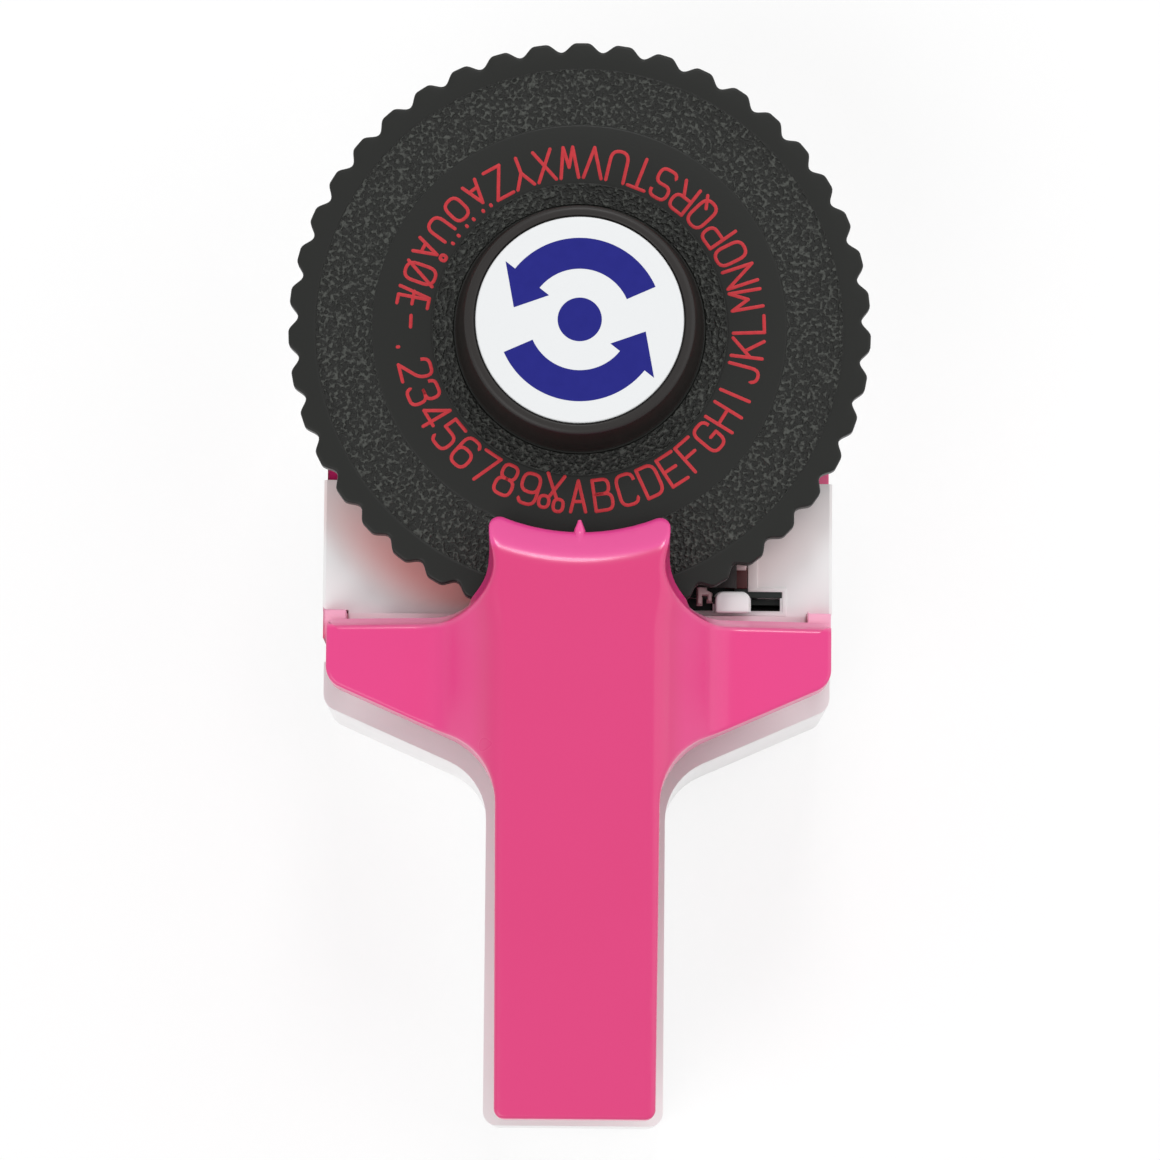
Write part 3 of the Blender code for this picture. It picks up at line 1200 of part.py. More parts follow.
def main():
    clear_scene()
    white = plastic("white plastic", (0.87, 0.86, 0.86), 0.35)
    pink = plastic("pink plastic", (0.77, 0.075, 0.24), 0.28)
    black = plastic("black dial plastic", (0.032, 0.033, 0.029), 0.5)
    dark = plastic("dark guide plastic", (0.025, 0.02, 0.018), 0.45)
    tape = plastic("black tape", (0.015, 0.015, 0.014), 0.3)
    badge = plastic("white badge", (0.88, 0.9, 0.92), 0.3)
    steel = plastic("bright steel", (0.6, 0.6, 0.6), 0.3, 1.0)
    make_body(white, dark, steel)

    dial = [make_letter_dial(black), make_matrix_disc(black), make_dial_knob(black)]
    dial += [make_badge(badge), make_cutter_blade(steel)]
    on_axis("dial_axis", (0, 0, dial_top), dial)
    lever = [make_lever(pink), make_press_pad(dark)]
    on_axis("lever_axis", (0, pivot_y, pivot_z), lever)
    slider = make_feed_slider(white, steel)
    on_axis("feed_way", (tab_left_x, slot_middle_y, foot_bottom), slider)
    roll = make_tape(tape)
    on_axis("roll_axis", (roll_x, tape_centre_y, roll_z), [roll])
    door = make_tape_door(white, steel)
    on_axis("door_axis", (0, barrel_y, BARREL_Z), [door])


main()
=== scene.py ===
# %% [markdown]
# # An embossing label maker
# A hand embosser for plastic tape: a black dial of letters turns on a white body, and a pink lever
# presses the chosen letter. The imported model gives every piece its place, and this lesson gives the
# pieces their finish, in metres and in the same frame. Each step says what the piece is first.

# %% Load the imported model
import json
from math import ceil, cos, hypot, pi, radians, sin, sqrt, tan

import bmesh
import bpy
from mathutils import Matrix, Vector
from mathutils.geometry import delaunay_2d_cdt
from mathutils.kdtree import KDTree


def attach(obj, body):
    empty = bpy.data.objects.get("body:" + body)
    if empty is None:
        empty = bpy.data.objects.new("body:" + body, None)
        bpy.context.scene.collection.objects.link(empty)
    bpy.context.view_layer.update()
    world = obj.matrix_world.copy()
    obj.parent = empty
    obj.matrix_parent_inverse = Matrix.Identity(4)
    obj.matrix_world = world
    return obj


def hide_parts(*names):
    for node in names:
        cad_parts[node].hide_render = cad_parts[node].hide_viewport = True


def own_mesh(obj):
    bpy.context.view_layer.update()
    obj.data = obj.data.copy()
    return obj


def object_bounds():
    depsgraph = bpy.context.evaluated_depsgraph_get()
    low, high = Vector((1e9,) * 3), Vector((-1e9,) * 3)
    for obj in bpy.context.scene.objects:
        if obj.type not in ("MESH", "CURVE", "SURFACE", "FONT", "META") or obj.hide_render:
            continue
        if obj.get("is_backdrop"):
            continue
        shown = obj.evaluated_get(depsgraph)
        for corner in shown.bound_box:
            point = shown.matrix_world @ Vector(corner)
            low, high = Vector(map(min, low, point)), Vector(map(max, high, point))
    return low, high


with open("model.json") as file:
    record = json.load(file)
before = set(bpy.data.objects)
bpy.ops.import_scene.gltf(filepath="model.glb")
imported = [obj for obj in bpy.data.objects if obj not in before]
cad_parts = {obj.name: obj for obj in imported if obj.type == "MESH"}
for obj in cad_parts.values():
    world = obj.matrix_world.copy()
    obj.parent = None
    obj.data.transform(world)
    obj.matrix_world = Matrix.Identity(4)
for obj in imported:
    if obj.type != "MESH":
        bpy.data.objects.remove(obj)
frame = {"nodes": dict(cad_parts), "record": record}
cad_box = [list(corner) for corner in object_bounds()]
MM = 0.001
print("nodes:", len(frame["nodes"]), "box:", [[round(v / MM, 1) for v in corner] for corner in cad_box])

# %% [markdown]
# ## Shader maths as plain sums
# Finishes are built from nodes. Written as node calls, even a soft step round a ring takes many
# lines, so a small class wraps a socket and gives it the usual signs. A sum of values adds a Math
# node and a sum of vectors a Vector Math node. A Math node would turn a colour grey, so colours go
# through a Mix node, which the finish's method between adds.

# %% A socket with signs
class Wire:
    """A socket of one finish. Signs between wires, or a wire and a number, add the nodes for them."""

    def __init__(self, finish, socket):
        self.finish = finish
        self.socket = socket

    def worked(self, operation, other, swapped=False):
        """The node that works on this wire and the other value, as a wire."""
        a, b = (other, self) if swapped else (self, other)
        kind = "ShaderNodeVectorMath" if self.socket.type == "VECTOR" else "ShaderNodeMath"
        return self.finish.node(kind, {"operation": operation}, {0: a, 1: b})

    def __add__(self, other):
        return self.worked("ADD", other)

    def __sub__(self, other):
        return self.worked("SUBTRACT", other)

    def __rsub__(self, other):
        return self.worked("SUBTRACT", other, True)

    def __mul__(self, other):
        return self.worked("MULTIPLY", other)

    __radd__, __rmul__ = __add__, __mul__


# %% [markdown]
# ## A finish
# Every material here is one Principled shader and a few patterns that feed it. One method adds any
# node: its type, its settings, and the values or wires of its sockets. The patterns are placed by
# object coordinates, which are metres on this model, so a scale of 1000 gives a pattern of 1 mm.

# %% A tree of nodes
class Nodes:
    """A node tree, and one way to add any node to it."""

    def __init__(self, tree):
        self.tree = tree

    def node(self, kind, settings=None, values=None, output=0):
        """A new node; its settings come first, because they switch its sockets."""
        node = self.tree.nodes.new(kind)
        for name, value in (settings or {}).items():
            setattr(node, name, value)
        for name, value in (values or {}).items():
            self.put(self.socket(node.inputs, name), value)
        return Wire(self, self.socket(node.outputs, output))

    def socket(self, sockets, name):
        """The socket of that name or number that is in use; a Mix node has one A for each type."""
        if isinstance(name, int):
            return sockets[name]
        return next(s for s in sockets if s.name == name and s.enabled)

    def put(self, socket, value):
        """Links a wire or sets a value; a colour may be three numbers."""
        if isinstance(value, Wire):
            self.tree.links.new(value.socket, socket)
        elif socket.type == "RGBA" and len(value) == 3:
            socket.default_value = (*value, 1)
        else:
            socket.default_value = value

    def seen(self):
        """1 for the rays of the camera, of mirrors and of clear pieces, and 0 for the light's rays."""
        most = self.node("ShaderNodeLightPath", output="Is Camera Ray")
        for kind in ("Glossy", "Transmission"):
            ray = self.node("ShaderNodeLightPath", output=f"Is {kind} Ray")
            most = self.node("ShaderNodeMath", {"operation": "MAXIMUM"}, {0: most, 1: ray})
        return most


# %% The finish class
class Finish(Nodes):
    """A material: the Principled shader, and the nodes that feed it."""

    def __init__(self, name, colour, roughness, metallic=0.0, coat=0.0, gloss=0.5):
        self.material = bpy.data.materials.new(name)
        self.material.use_nodes = True
        super().__init__(self.material.node_tree)
        self.shader = self.tree.nodes["Principled BSDF"]
        self.feed(Base_Color=colour, Roughness=roughness, Metallic=metallic, Coat_Weight=coat)
        self.feed(Coat_Roughness=0.08, Specular_IOR_Level=gloss)

    def feed(self, **values):
        """Sets or links the shader's sockets; an underscore stands for the blank in a name."""
        for name, value in values.items():
            self.put(self.shader.inputs[name.replace("_", " ")], value)

    def place(self):
        """Where a point of the surface lies."""
        return self.node("ShaderNodeTexCoord", output="Object")

    def along(self, axis):
        """How far a point lies along X, Y or Z."""
        return self.node("ShaderNodeSeparateXYZ", values={0: self.place()}, output=axis)

    def from_axis(self):
        """How far a point lies from the dial's axis, seen from above."""
        flat = self.place() * (1, 1, 0)
        return self.node("ShaderNodeVectorMath", {"operation": "LENGTH"}, {0: flat}, "Value")

    def noise(self, scale, detail=2.0, distortion=0.0):
        """Noise with that many grains to a metre; three numbers stretch it along the axes."""
        place = self.place()
        if isinstance(scale, tuple):
            place, scale = place * scale, 1.0
        values = {"Vector": place, "Scale": scale, "Detail": detail, "Distortion": distortion}
        return self.node("ShaderNodeTexNoise", values=values)

    def cells(self, scale):
        """Soft-edged cells with that many to a metre."""
        values = {"Vector": self.place(), "Scale": scale, "Smoothness": 0.3}
        return self.node("ShaderNodeTexVoronoi", {"feature": "SMOOTH_F1"}, values, "Distance")

    def step(self, value, low, high, to_low=0.0, to_high=1.0):
        """A soft step: value from low to high becomes to_low to to_high, and stays there outside."""
        values = {"Value": value, "From Min": low, "From Max": high, "To Min": to_low, "To Max": to_high}
        return self.node("ShaderNodeMapRange", {"interpolation_type": "SMOOTHSTEP"}, values)

    def between(self, factor, a, b):
        """Colour a where the factor is 0, colour b where it is 1."""
        values = {"Factor": factor, "A": a, "B": b}
        return self.node("ShaderNodeMix", {"data_type": "RGBA"}, values, "Result")

    def bump(self, height, depth, strength=1.0):
        """A surface that seems to rise by the depth."""
        values = {"Height": height, "Distance": depth, "Strength": strength}
        return self.node("ShaderNodeBump", values=values, output="Normal")

    def fine_grain(self, scale, depth, strength, detail=2.0):
        """The faint grain of a moulding, all over."""
        self.feed(Normal=self.bump(self.noise(scale, detail), depth, strength))


# %% [markdown]
# ## The pink plastic
# The lever is a glossy moulding. A real one isn't a perfect mirror: its skin has a faint orange peel
# of about 2 mm, the gloss changes a little where it was handled, and the colour clouds slightly where
# the plastic flowed. Noises feed the colour, the roughness and a bump. Light is painted over the pink
# too: the wings are painted lighter than the top of the spine, the wings' front edges and the thin arms
# carry a painted highlight, and the nose's slope is painted lighter and more magenta. Soft steps along
# the height, the length and the distance from the dial's axis lay these painted tints over the pink.

# %% Pink
PINK, CLOUD_AND_LIGHT_PINK = (0.73, 0.029, 0.184), (0.83, 0.038, 0.25)
PAINTED_LIGHT_PINK, NOSE_PAINTED_LIGHT_PINK = (0.93, 0.4, 0.57), (0.88, 0.07, 0.33)
pink = Finish("pink_moulding", PINK, 0.3, coat=0.3)
pink.feed(Coat_Roughness=0.12)
level = pink.along("Z")
# Painted light: the wings are painted a lighter pink than the top of the spine; the noise adds a real
# clouding of the colour.
cloud_and_wing_light = pink.step(level, 46 * MM, 50 * MM, 0.75, 0.0) + pink.noise(55, 3) * 0.25
# Painted highlight: the wings' front edges are painted a paler pink.
wing_edge_painted_light = pink.step(pink.along("Y"), -43 * MM, -41.7 * MM)
wing_edge_painted_light *= pink.step(level, 40.6 * MM, 43 * MM, 0.72, 0.0)
# Painted light: the nose's slope is painted lighter and more magenta.
nose_painted_light = 1 - pink.step(pink.from_axis(), 33.6 * MM, 34.6 * MM)
nose_painted_light *= pink.step(level, 44 * MM, 46.5 * MM)
body_pink = pink.between(nose_painted_light, pink.between(cloud_and_wing_light, PINK, CLOUD_AND_LIGHT_PINK), NOSE_PAINTED_LIGHT_PINK)
pink.feed(Base_Color=pink.between(wing_edge_painted_light, body_pink, PAINTED_LIGHT_PINK))
peel = pink.noise(620) * 0.7 + pink.noise(2400) * 0.3
pink.feed(Roughness=pink.noise(90) * 0.1 + 0.25, Normal=pink.bump(peel, 0.02 * MM, 0.35))

arm_pink_painted_light = Finish("pink_arm_painted_light", PAINTED_LIGHT_PINK, 0.3, coat=0.3)
# Painted light: the arms are painted paler towards their top.
arm_top_painted_light = arm_pink_painted_light.step(arm_pink_painted_light.along("Z"), 33 * MM, 38 * MM)
arm_pink_painted_light.feed(Base_Color=arm_pink_painted_light.between(arm_top_painted_light, PINK, PAINTED_LIGHT_PINK))
arm_pink_painted_light.fine_grain(1500, 0.02 * MM, 0.3)
print("pink moulding:", [round(v, 3) for v in PINK])

# %% [markdown]
# ## The black plastic of the dial
# The dial has two stippled bands and, between them, a smooth ring for the letters. One material can
# hold both: the distance from the dial's axis tells the bands from the ring, and switches a grain of
# about half a millimetre on and off. A grain is cheaper and finer as a bump than as real dimples. The
# grain's peaks also carry a painted highlight, a lighter black in the colour.

# %% Black, with the grain in the bands only
OUTER_BAND = (29.4 * MM, 37.4 * MM)
INNER_BAND = (17.9 * MM, 20.9 * MM)
PIT_BLACK, PAINTED_GLINT_BLACK = (0.0105, 0.0112, 0.0098), (0.07, 0.074, 0.067)


def in_band(band, soft=0.12 * MM):
    """1 in the band round the dial's axis, 0 outside, with soft edges."""
    away = black.from_axis()
    inner, outer = (black.step(away, edge - soft, edge + soft) for edge in band)
    return inner * (1 - outer)


black = Finish("black_dial", PIT_BLACK, 0.46, gloss=0.24)
top_only = black.step(black.along("Z"), 40.9 * MM, 41.1 * MM)
in_bands = (in_band(OUTER_BAND) + in_band(INNER_BAND)) * top_only
lumps = black.step(black.noise(1700, distortion=0.3), 0.32, 0.7)
grain = lumps * 0.6 + black.cells(1900) * 0.6
# Painted highlight: the grain's peaks in the stippled bands are painted a lighter black.
painted_glints = in_bands * black.step(grain, 0.5, 1.05)
black.feed(
    Base_Color=black.between(painted_glints, PIT_BLACK, PAINTED_GLINT_BLACK),
    Roughness=black.step(in_bands, 0, 1, 0.42, 0.5),
    Normal=black.bump(grain * in_bands + black.noise(3200) * 0.05, 0.3 * MM),
)

hub_black = Finish("black_knob", (0.012, 0.0095, 0.0085), 0.42, gloss=0.35)
hub_black.fine_grain(2600, 0.02 * MM, 0.4, 3)

DEEP_RED, BRIGHT_RED = (0.4452, 0.02315, 0.03434), (0.67244, 0.04519, 0.05448)
letter_red = Finish("red_letters", DEEP_RED, 0.5, gloss=0.25)
letter_red.feed(Base_Color=letter_red.between(letter_red.noise(1300, 3), DEEP_RED, BRIGHT_RED))
print("bands from", [round(v / MM, 1) for v in (*INNER_BAND, *OUTER_BAND)], "mm")

# %% [markdown]
# ## White, dark and steel
# The body's white plastic is semi-gloss with a fine spark-eroded grain. Two soft masks paint light
# onto the deck's white: a painted warm shadow beside the dial's lower rim, and painted pink shade and
# bounce light along the lever. The small dark pieces are matt, springs, pins and screws are bright
# steel with drawn lines, and the tape is smooth vinyl.

# %% White plastic
def white_moulding(name, shade=None):
    """White body plastic; shade gives a mask and the tint that it lays over the white."""
    finish = Finish(name, (0.9, 0.89, 0.89), 0.34)
    colour = finish.between(finish.noise(40, 3), (0.89, 0.88, 0.882), (0.91, 0.902, 0.903))
    for mask, tint in shade(finish) if shade else ():
        colour = finish.between(mask, colour, tint)
    finish.feed(Base_Color=colour, Roughness=finish.step(finish.noise(300, 3), 0.35, 0.7, 0.3, 0.4))
    finish.fine_grain(5200, 0.012 * MM, 0.5)
    return finish


def deck_painted_light(finish):
    """The deck's painted light: a warm painted shadow beside the dial's lower rim, and painted pink shade
    and bounce light along the lever.
    """
    forward = finish.along("Y")
    by_rim = 1 - finish.step(finish.from_axis(), 40.5 * MM, 48 * MM)
    lower_half = 1 - finish.step(forward, -36 * MM, -14 * MM)
    to_left = finish.step(finish.along("X"), -6 * MM, 12 * MM, 0.95, 0.25)
    # Painted shade: a warm shadow beside the dial's lower rim, strongest on the left.
    yield by_rim * lower_half * to_left, (0.93, 0.38, 0.36)
    # Painted light: pink shade and bounce light on the deck along the lever's wings.
    yield finish.step(forward, -40.5 * MM, -37.5 * MM, 0.7, 0.0), (0.95, 0.72, 0.78)


white = white_moulding("white_body")
deck_white_painted_light = white_moulding("white_deck", deck_painted_light)
badge_white = Finish("badge_card", (0.86, 0.875, 0.885), 0.3)
badge_white.fine_grain(1800, 0.01 * MM, 0.4)
print("nodes of the deck's white:", len(deck_white_painted_light.tree.nodes))

# %% Dark plastic, steel and tape
rosy_grey = Finish("fork_plastic", (0.68, 0.48, 0.49), 0.4)
rosy_grey.fine_grain(2400, 0.02 * MM, 0.4)
maroon = Finish("maroon_guide", (0.075, 0.012, 0.013), 0.45, gloss=0.3)
maroon.fine_grain(2200, 0.02 * MM, 0.5, 3)
rail_dark = Finish("rail_plastic", (0.012, 0.016, 0.015), 0.45, gloss=0.3)
rail_dark.fine_grain(1800, 0.01 * MM, 0.4)
dark = Finish("dark_guide", (0.02, 0.017, 0.015), 0.45, gloss=0.3)
dark.feed(Roughness=dark.step(dark.noise(500), 0.3, 0.7, 0.4, 0.5))
dark.fine_grain(2200, 0.03 * MM, 0.5, 3)

steel = Finish("bright_steel", (0.62, 0.62, 0.61), 0.25, metallic=1.0)
lines = steel.noise((400, 9000, 2500), 3)
steel.feed(Roughness=steel.step(lines, 0.3, 0.7, 0.2, 0.36), Normal=steel.bump(lines, 0.008 * MM, 0.5))

vinyl = Finish("tape_vinyl", (0.014, 0.014, 0.013), 0.2)
windings = vinyl.noise((300, 40, 300))
vinyl.feed(Roughness=vinyl.step(windings, 0.3, 0.7, 0.14, 0.26), Normal=vinyl.bump(windings, 0.02 * MM, 0.4))
tape_back = Finish("tape_back", (0.013, 0.009, 0.009), 0.6, gloss=0.2)
tape_back.feed(Roughness=tape_back.step(tape_back.noise(900), 0.3, 0.7, 0.55, 0.68))

badge_blue = Finish("badge_ink", (0.012, 0.014, 0.22), 0.35, gloss=0.2)
inked = badge_blue.noise(700, 3)
badge_blue.feed(Base_Color=badge_blue.between(inked, (0.01, 0.012, 0.2), (0.015, 0.017, 0.235)))
print("finishes:", len(bpy.data.materials))

# %% [markdown]
# ## Put a mesh into the scene
# Each new piece is made with bmesh, in the model's own frame, so it needs no placing. It then rides
# on a body of the model, hides the CAD node that it stands for, and takes its finish.

# %% Helpers for new pieces
def add_object(name, data):
    """An object with this data, in the scene."""
    item = bpy.data.objects.new(name, data)
    bpy.context.scene.collection.objects.link(item)
    return item


def add_piece(name, working, finish, body, stands_for=(), smooth=40):
    """A piece from a finished bmesh; edges sharper than smooth, in degrees, stay sharp."""
    mesh = bpy.data.meshes.new(name)
    bmesh.ops.recalc_face_normals(working, faces=working.faces)
    working.to_mesh(mesh)
    working.free()
    mesh.shade_smooth()
    mesh.set_sharp_from_angle(angle=radians(smooth))
    mesh.materials.append(finish.material)
    piece = add_object(name, mesh)
    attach(piece, body)
    if stands_for:
        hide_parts(*stands_for)
    print(f"{name}: {len(mesh.polygons)} faces")
    return piece


# %% Helpers for turned shapes
def rail(working, lower, upper):
    """Faces between two rings of vertices."""
    for k in range(len(lower)):
        after = (k + 1) % len(lower)
        working.faces.new((lower[k], lower[after], upper[after], upper[k]))


def turned(profile, steps, reach=None):
    """Turns (radius, height) points about Z; reach gives a radius its change at an angle."""
    working = bmesh.new()
    rings = []
    for radius, height in profile:
        ring = []
        for step in range(steps):
            angle = 2 * pi * step / steps
            far = radius + (reach(radius, angle) if reach else 0)
            ring.append(working.verts.new((far * cos(angle), far * sin(angle), height)))
        rings.append(ring)
    for upper, lower in zip(rings, rings[1:]):
        rail(working, upper, lower)
    bmesh.ops.remove_doubles(working, verts=working.verts, dist=0.001 * MM)
    return working


def arc(centre, radius, start_deg, end_deg, count):
    """Points of an arc, as pairs of numbers."""
    angles = [radians(start_deg + (end_deg - start_deg) * step / count) for step in range(count + 1)]
    return [(centre[0] + radius * cos(a), centre[1] + radius * sin(a)) for a in angles]


# %% [markdown]
# ## The letter dial
# The dial is a turned disc whose rim has 43 soft teeth, one for each character. It could be cut with
# booleans, but a turned profile with a rim that waves is smoother: each ring of points runs round the
# axis, and the rings near the rim move out and in by a rounded square wave.

# %% Teeth
TEETH = 43
DIAL_LOW, DIAL_TOP = 39 * MM, 41.5 * MM
RIM, TOOTH = 41.3 * MM, 1.3 * MM
SLEEVE, SLEEVE_BORE, SLEEVE_LOW = 11 * MM, 3.15 * MM, 37.6 * MM
SLEEVE_TOP = DIAL_TOP + 2.3 * MM


def tooth_wave(radius, angle):
    """How far the rim stands back at an angle: 0 on a tooth, the tooth's depth in a valley."""
    if radius < RIM - 2 * MM:
        return 0
    turn = ((angle - pi / 2) / (2 * pi) * TEETH + 0.5) % 1 - 0.5
    share = min(max((abs(turn) - 0.14) / 0.35, 0), 1)
    return -TOOTH * share * share * (3 - 2 * share)


# %% The dial's profile, out over the rim and back
on_top = [  # radius, and depth under the dial's top, in mm: the stippled bands lie 0.2 mm deep
    (17.9, 0.2), (20.6, 0.2), (20.8, 0.15), (21.0, 0.03), (21.3, 0), (25, 0), (29.1, 0), (29.35, 0.04),
    (29.5, 0.16), (29.7, 0.2), (33.5, 0.2), (37.1, 0.2), (37.3, 0.15), (37.5, 0.02), (37.8, 0), (38.9, 0),
]
dial_profile = [(SLEEVE, SLEEVE_TOP), (SLEEVE, DIAL_TOP)]
dial_profile += [(radius * MM, DIAL_TOP - depth * MM) for radius, depth in on_top]
dial_profile += arc((RIM - 0.45 * MM, DIAL_TOP - 0.45 * MM), 0.45 * MM, 90, 0, 5)
dial_profile += [(RIM, DIAL_TOP - 1 * MM)]
dial_profile += arc((RIM - 0.3 * MM, DIAL_LOW + 0.3 * MM), 0.3 * MM, 0, -90, 3)
dial_profile += [(38.9 * MM, DIAL_LOW), (30 * MM, DIAL_LOW), (SLEEVE, DIAL_LOW), (SLEEVE, SLEEVE_LOW)]
dial_profile += [(SLEEVE_BORE, SLEEVE_LOW), (SLEEVE_BORE, SLEEVE_TOP), (SLEEVE, SLEEVE_TOP)]
disc = turned(dial_profile, TEETH * 18, tooth_wave)
add_piece("dial_face", disc, black, "dial", ["letter_dial"], 32)

# %% [markdown]
# ## The characters
# Each character is moulded and filled with red: a single round-ended stroke of half a millimetre.
# A font would be heavy and wouldn't match these narrow signs, so each sign is a few lines on a grid
# of 4 by 6, with corners that may be rounded. The lines become thin tubes, pressed flat on the ring.

# %% A stroke alphabet on a grid of 4 by 6
# The signs stand in the ring's order. Strokes of a sign are parted by /; one starts with its corner
# radius, and @ closes it to a loop.
DOTS = "/0 .9,5.9 .9,6.1/0 3.1,5.9 3.1,6.1"
SIGNS = {
    "A": "0 .3,0 2,6 3.7,0/0 .9,2 3.1,2",
    "B": "0 0,0 0,6/1.35 0,6 3.5,6 3.5,3.2 0,3.2/1.5 0,3.2 4,3.2 4,0 0,0",
    "C": "1.7 4,4.5 4,6 0,6 0,0 4,0 4,1.5",
    "D": "0 0,0 0,6/1.9 0,6 4,6 4,0 0,0",
    "E": "0 4,6 0,6 0,0 4,0/0 0,3.2 3.1,3.2",
    "F": "0 4,6 0,6 0,0/0 0,3.2 3.1,3.2",
    "G": "1.7 4,4.5 4,6 0,6 0,0 4,0 4,2.7/0 4,2.7 2.2,2.7",
    "H": "0 0,0 0,6/0 4,0 4,6/0 0,3.1 4,3.1",
    "I": "0 2,0 2,6",
    "J": "1.7 3.4,6 3.4,0 .2,0 .2,1.6",
    "K": "0 0,0 0,6/0 4,6 0,2.3/0 1.3,3.5 4,0",
    "L": "0 0,6 0,0 3.8,0",
    "M": "0 0,0 0,6 2,2.6 4,6 4,0",
    "N": "0 0,0 0,6 4,0 4,6",
    "O": "1.9 0,0 0,6 4,6 4,0 @",
    "P": "0 0,0 0,6/1.5 0,6 4,6 4,2.9 0,2.9",
    "Q": "1.9 0,0 0,6 4,6 4,0 @/0 2.3,1.7 4.2,-.3",
    "R": "0 0,0 0,6/1.5 0,6 4,6 4,2.9 0,2.9/0 2.1,2.9 4,0",
    "S": "1.45 4,4.6 4,6 0,6 0,3.1 4,3.1 4,0 0,0 0,1.4",
    "T": "0 0,6 4,6/0 2,6 2,0",
    "U": "1.9 0,6 0,0 4,0 4,6",
    "V": "0 0,6 2,0 4,6",
    "W": "0 0,6 .9,0 2,3.9 3.1,0 4,6",
    "X": "0 0,0 4,6/0 0,6 4,0",
    "Y": "0 0,6 2,3.1 4,6/0 2,3.1 2,0",
    "Z": "0 0,6 4,6 0,0 4,0",
    "a two dots": "0 .3,0 2,4.6 3.7,0/0 1,1.5 3,1.5" + DOTS,
    "o two dots": "1.7 .1,0 .1,4.6 3.9,4.6 3.9,0 @" + DOTS,
    "u two dots": "1.8 .1,4.6 .1,0 3.9,0 3.9,4.6" + DOTS,
    "a ring": "0 .3,0 2,4.5 3.7,0/0 1,1.5 3,1.5/.5 1.4,5.3 1.4,6.4 2.6,6.4 2.6,5.3 @",
    "o stroke": "1.9 0,0 0,6 4,6 4,0 @/0 0,0 4,6",
    "ae": "0 0,0 1.7,6 4,6/0 2,6 2,0 4,0/0 .7,2.9 3.6,2.9",
    "dash": "0 .7,3 3.3,3",
    "point": "0 2,.3 2,.5",
    "2": "1.6 0,4.4 0,6 4,6 4,3.4 0,0/0 0,0 4,0",
    "3": "1.35 0,4.7 0,6 4,6 4,3.2 1.5,3.2/1.5 1.5,3.2 4,3.2 4,0 0,0 0,1.4",
    "4": "0 3,0 3,6 0,1.7 4,1.7",
    "5": "0 3.8,6 .3,6 .1,3.6/1.6 .1,3.6 4,3.6 4,0 0,0 0,1.3",
    "6": "1.7 0,0 0,3.6 4,3.6 4,0 @/1.8 0,2 0,6 3.8,6 3.9,4.8",
    "7": "0 0,6 4,6 1.4,0",
    "8": "1.35 .3,3.2 .3,6 3.7,6 3.7,3.2 @/1.5 0,0 0,3.2 4,3.2 4,0 @",
    "9": "1.7 0,2.4 0,6 4,6 4,2.4 @/1.8 4,4 4,0 .2,0 .1,1.2",
    "scissors": "0 .1,6.9 2.9,2.1/0 3.9,6.7 1,2.3/1.2 -1.1,.2 -1.1,2.5 1.2,2.5 1.2,.2 @"
                "/1.2 2.3,-.2 2.3,2.2 4.5,2.2 4.5,-.2 @",
}
print(len(SIGNS), "signs for", TEETH, "teeth")


# %% From a sign to its lines
CORNER_STEPS = 5


def bent(points, radius, closed):
    """The line through the points, with its corners rounded."""
    line = []
    for index, corner in enumerate(points):
        ends = not closed and index in (0, len(points) - 1)
        if radius == 0 or ends:
            line.append(corner)
            continue
        before = points[index - 1] - corner
        after = points[(index + 1) % len(points)] - corner
        reach = min(radius, before.length / 2 if closed or index > 1 else before.length,
                    after.length / 2 if closed or index < len(points) - 2 else after.length)
        start, end = corner + before.normalized() * reach, corner + after.normalized() * reach
        for step in range(CORNER_STEPS + 1):
            t = step / CORNER_STEPS
            line.append(start * (1 - t) ** 2 + corner * 2 * t * (1 - t) + end * t * t)
    return line


def sign_lines(text):
    """A sign's strokes as (closed, points); a stroke with sharp corners comes as straight lines."""
    for stroke in text.split("/"):
        words = stroke.split()
        closed = words[-1] == "@"
        points = [Vector(tuple(float(v) for v in word.split(","))) for word in words[1:] if word != "@"]
        if float(words[0]) > 0:
            yield closed, bent(points, float(words[0]), closed)
        else:
            yield from ((False, pair) for pair in zip(points, points[1:]))


# %% Wires that become tubes
def tubes(name, radius, resolution, lines):
    """Round wires as a bmesh. A line is its points and closed; a point is x, y, z, share of radius."""
    curve = bpy.data.curves.new(name, "CURVE")
    curve.dimensions = "3D"
    curve.bevel_depth, curve.bevel_resolution = radius, resolution
    curve.use_fill_caps = True
    for points, closed in lines:
        spline = curve.splines.new("POLY")
        spline.points.add(len(points) - 1)
        spline.use_cyclic_u = closed
        for point, (x, y, z, share) in zip(spline.points, points):
            point.co, point.radius = (x, y, z, 1), share
    shown = add_object(name, curve)
    bpy.context.view_layer.update()
    working = bmesh.new()
    working.from_mesh(shown.evaluated_get(bpy.context.evaluated_depsgraph_get()).to_mesh())
    bpy.data.objects.remove(shown)
    return working


# %% The ring of signs
GRID_X, GRID_Y = 2.5 * MM / 4, 4.4 * MM / 6
SIGN_FOOT, STROKE = 26.15 * MM, 0.27 * MM
FLATTENED = 0.32
END_DEG = (8, 35, 62)


def end_cap(tip, neighbour):
    """Points past a stroke's tip, with shares of the stroke's radius that round it off."""
    out = (tip - neighbour).normalized() * STROKE
    return [(tip + out * cos(radians(a)), sin(radians(a))) for a in END_DEG]


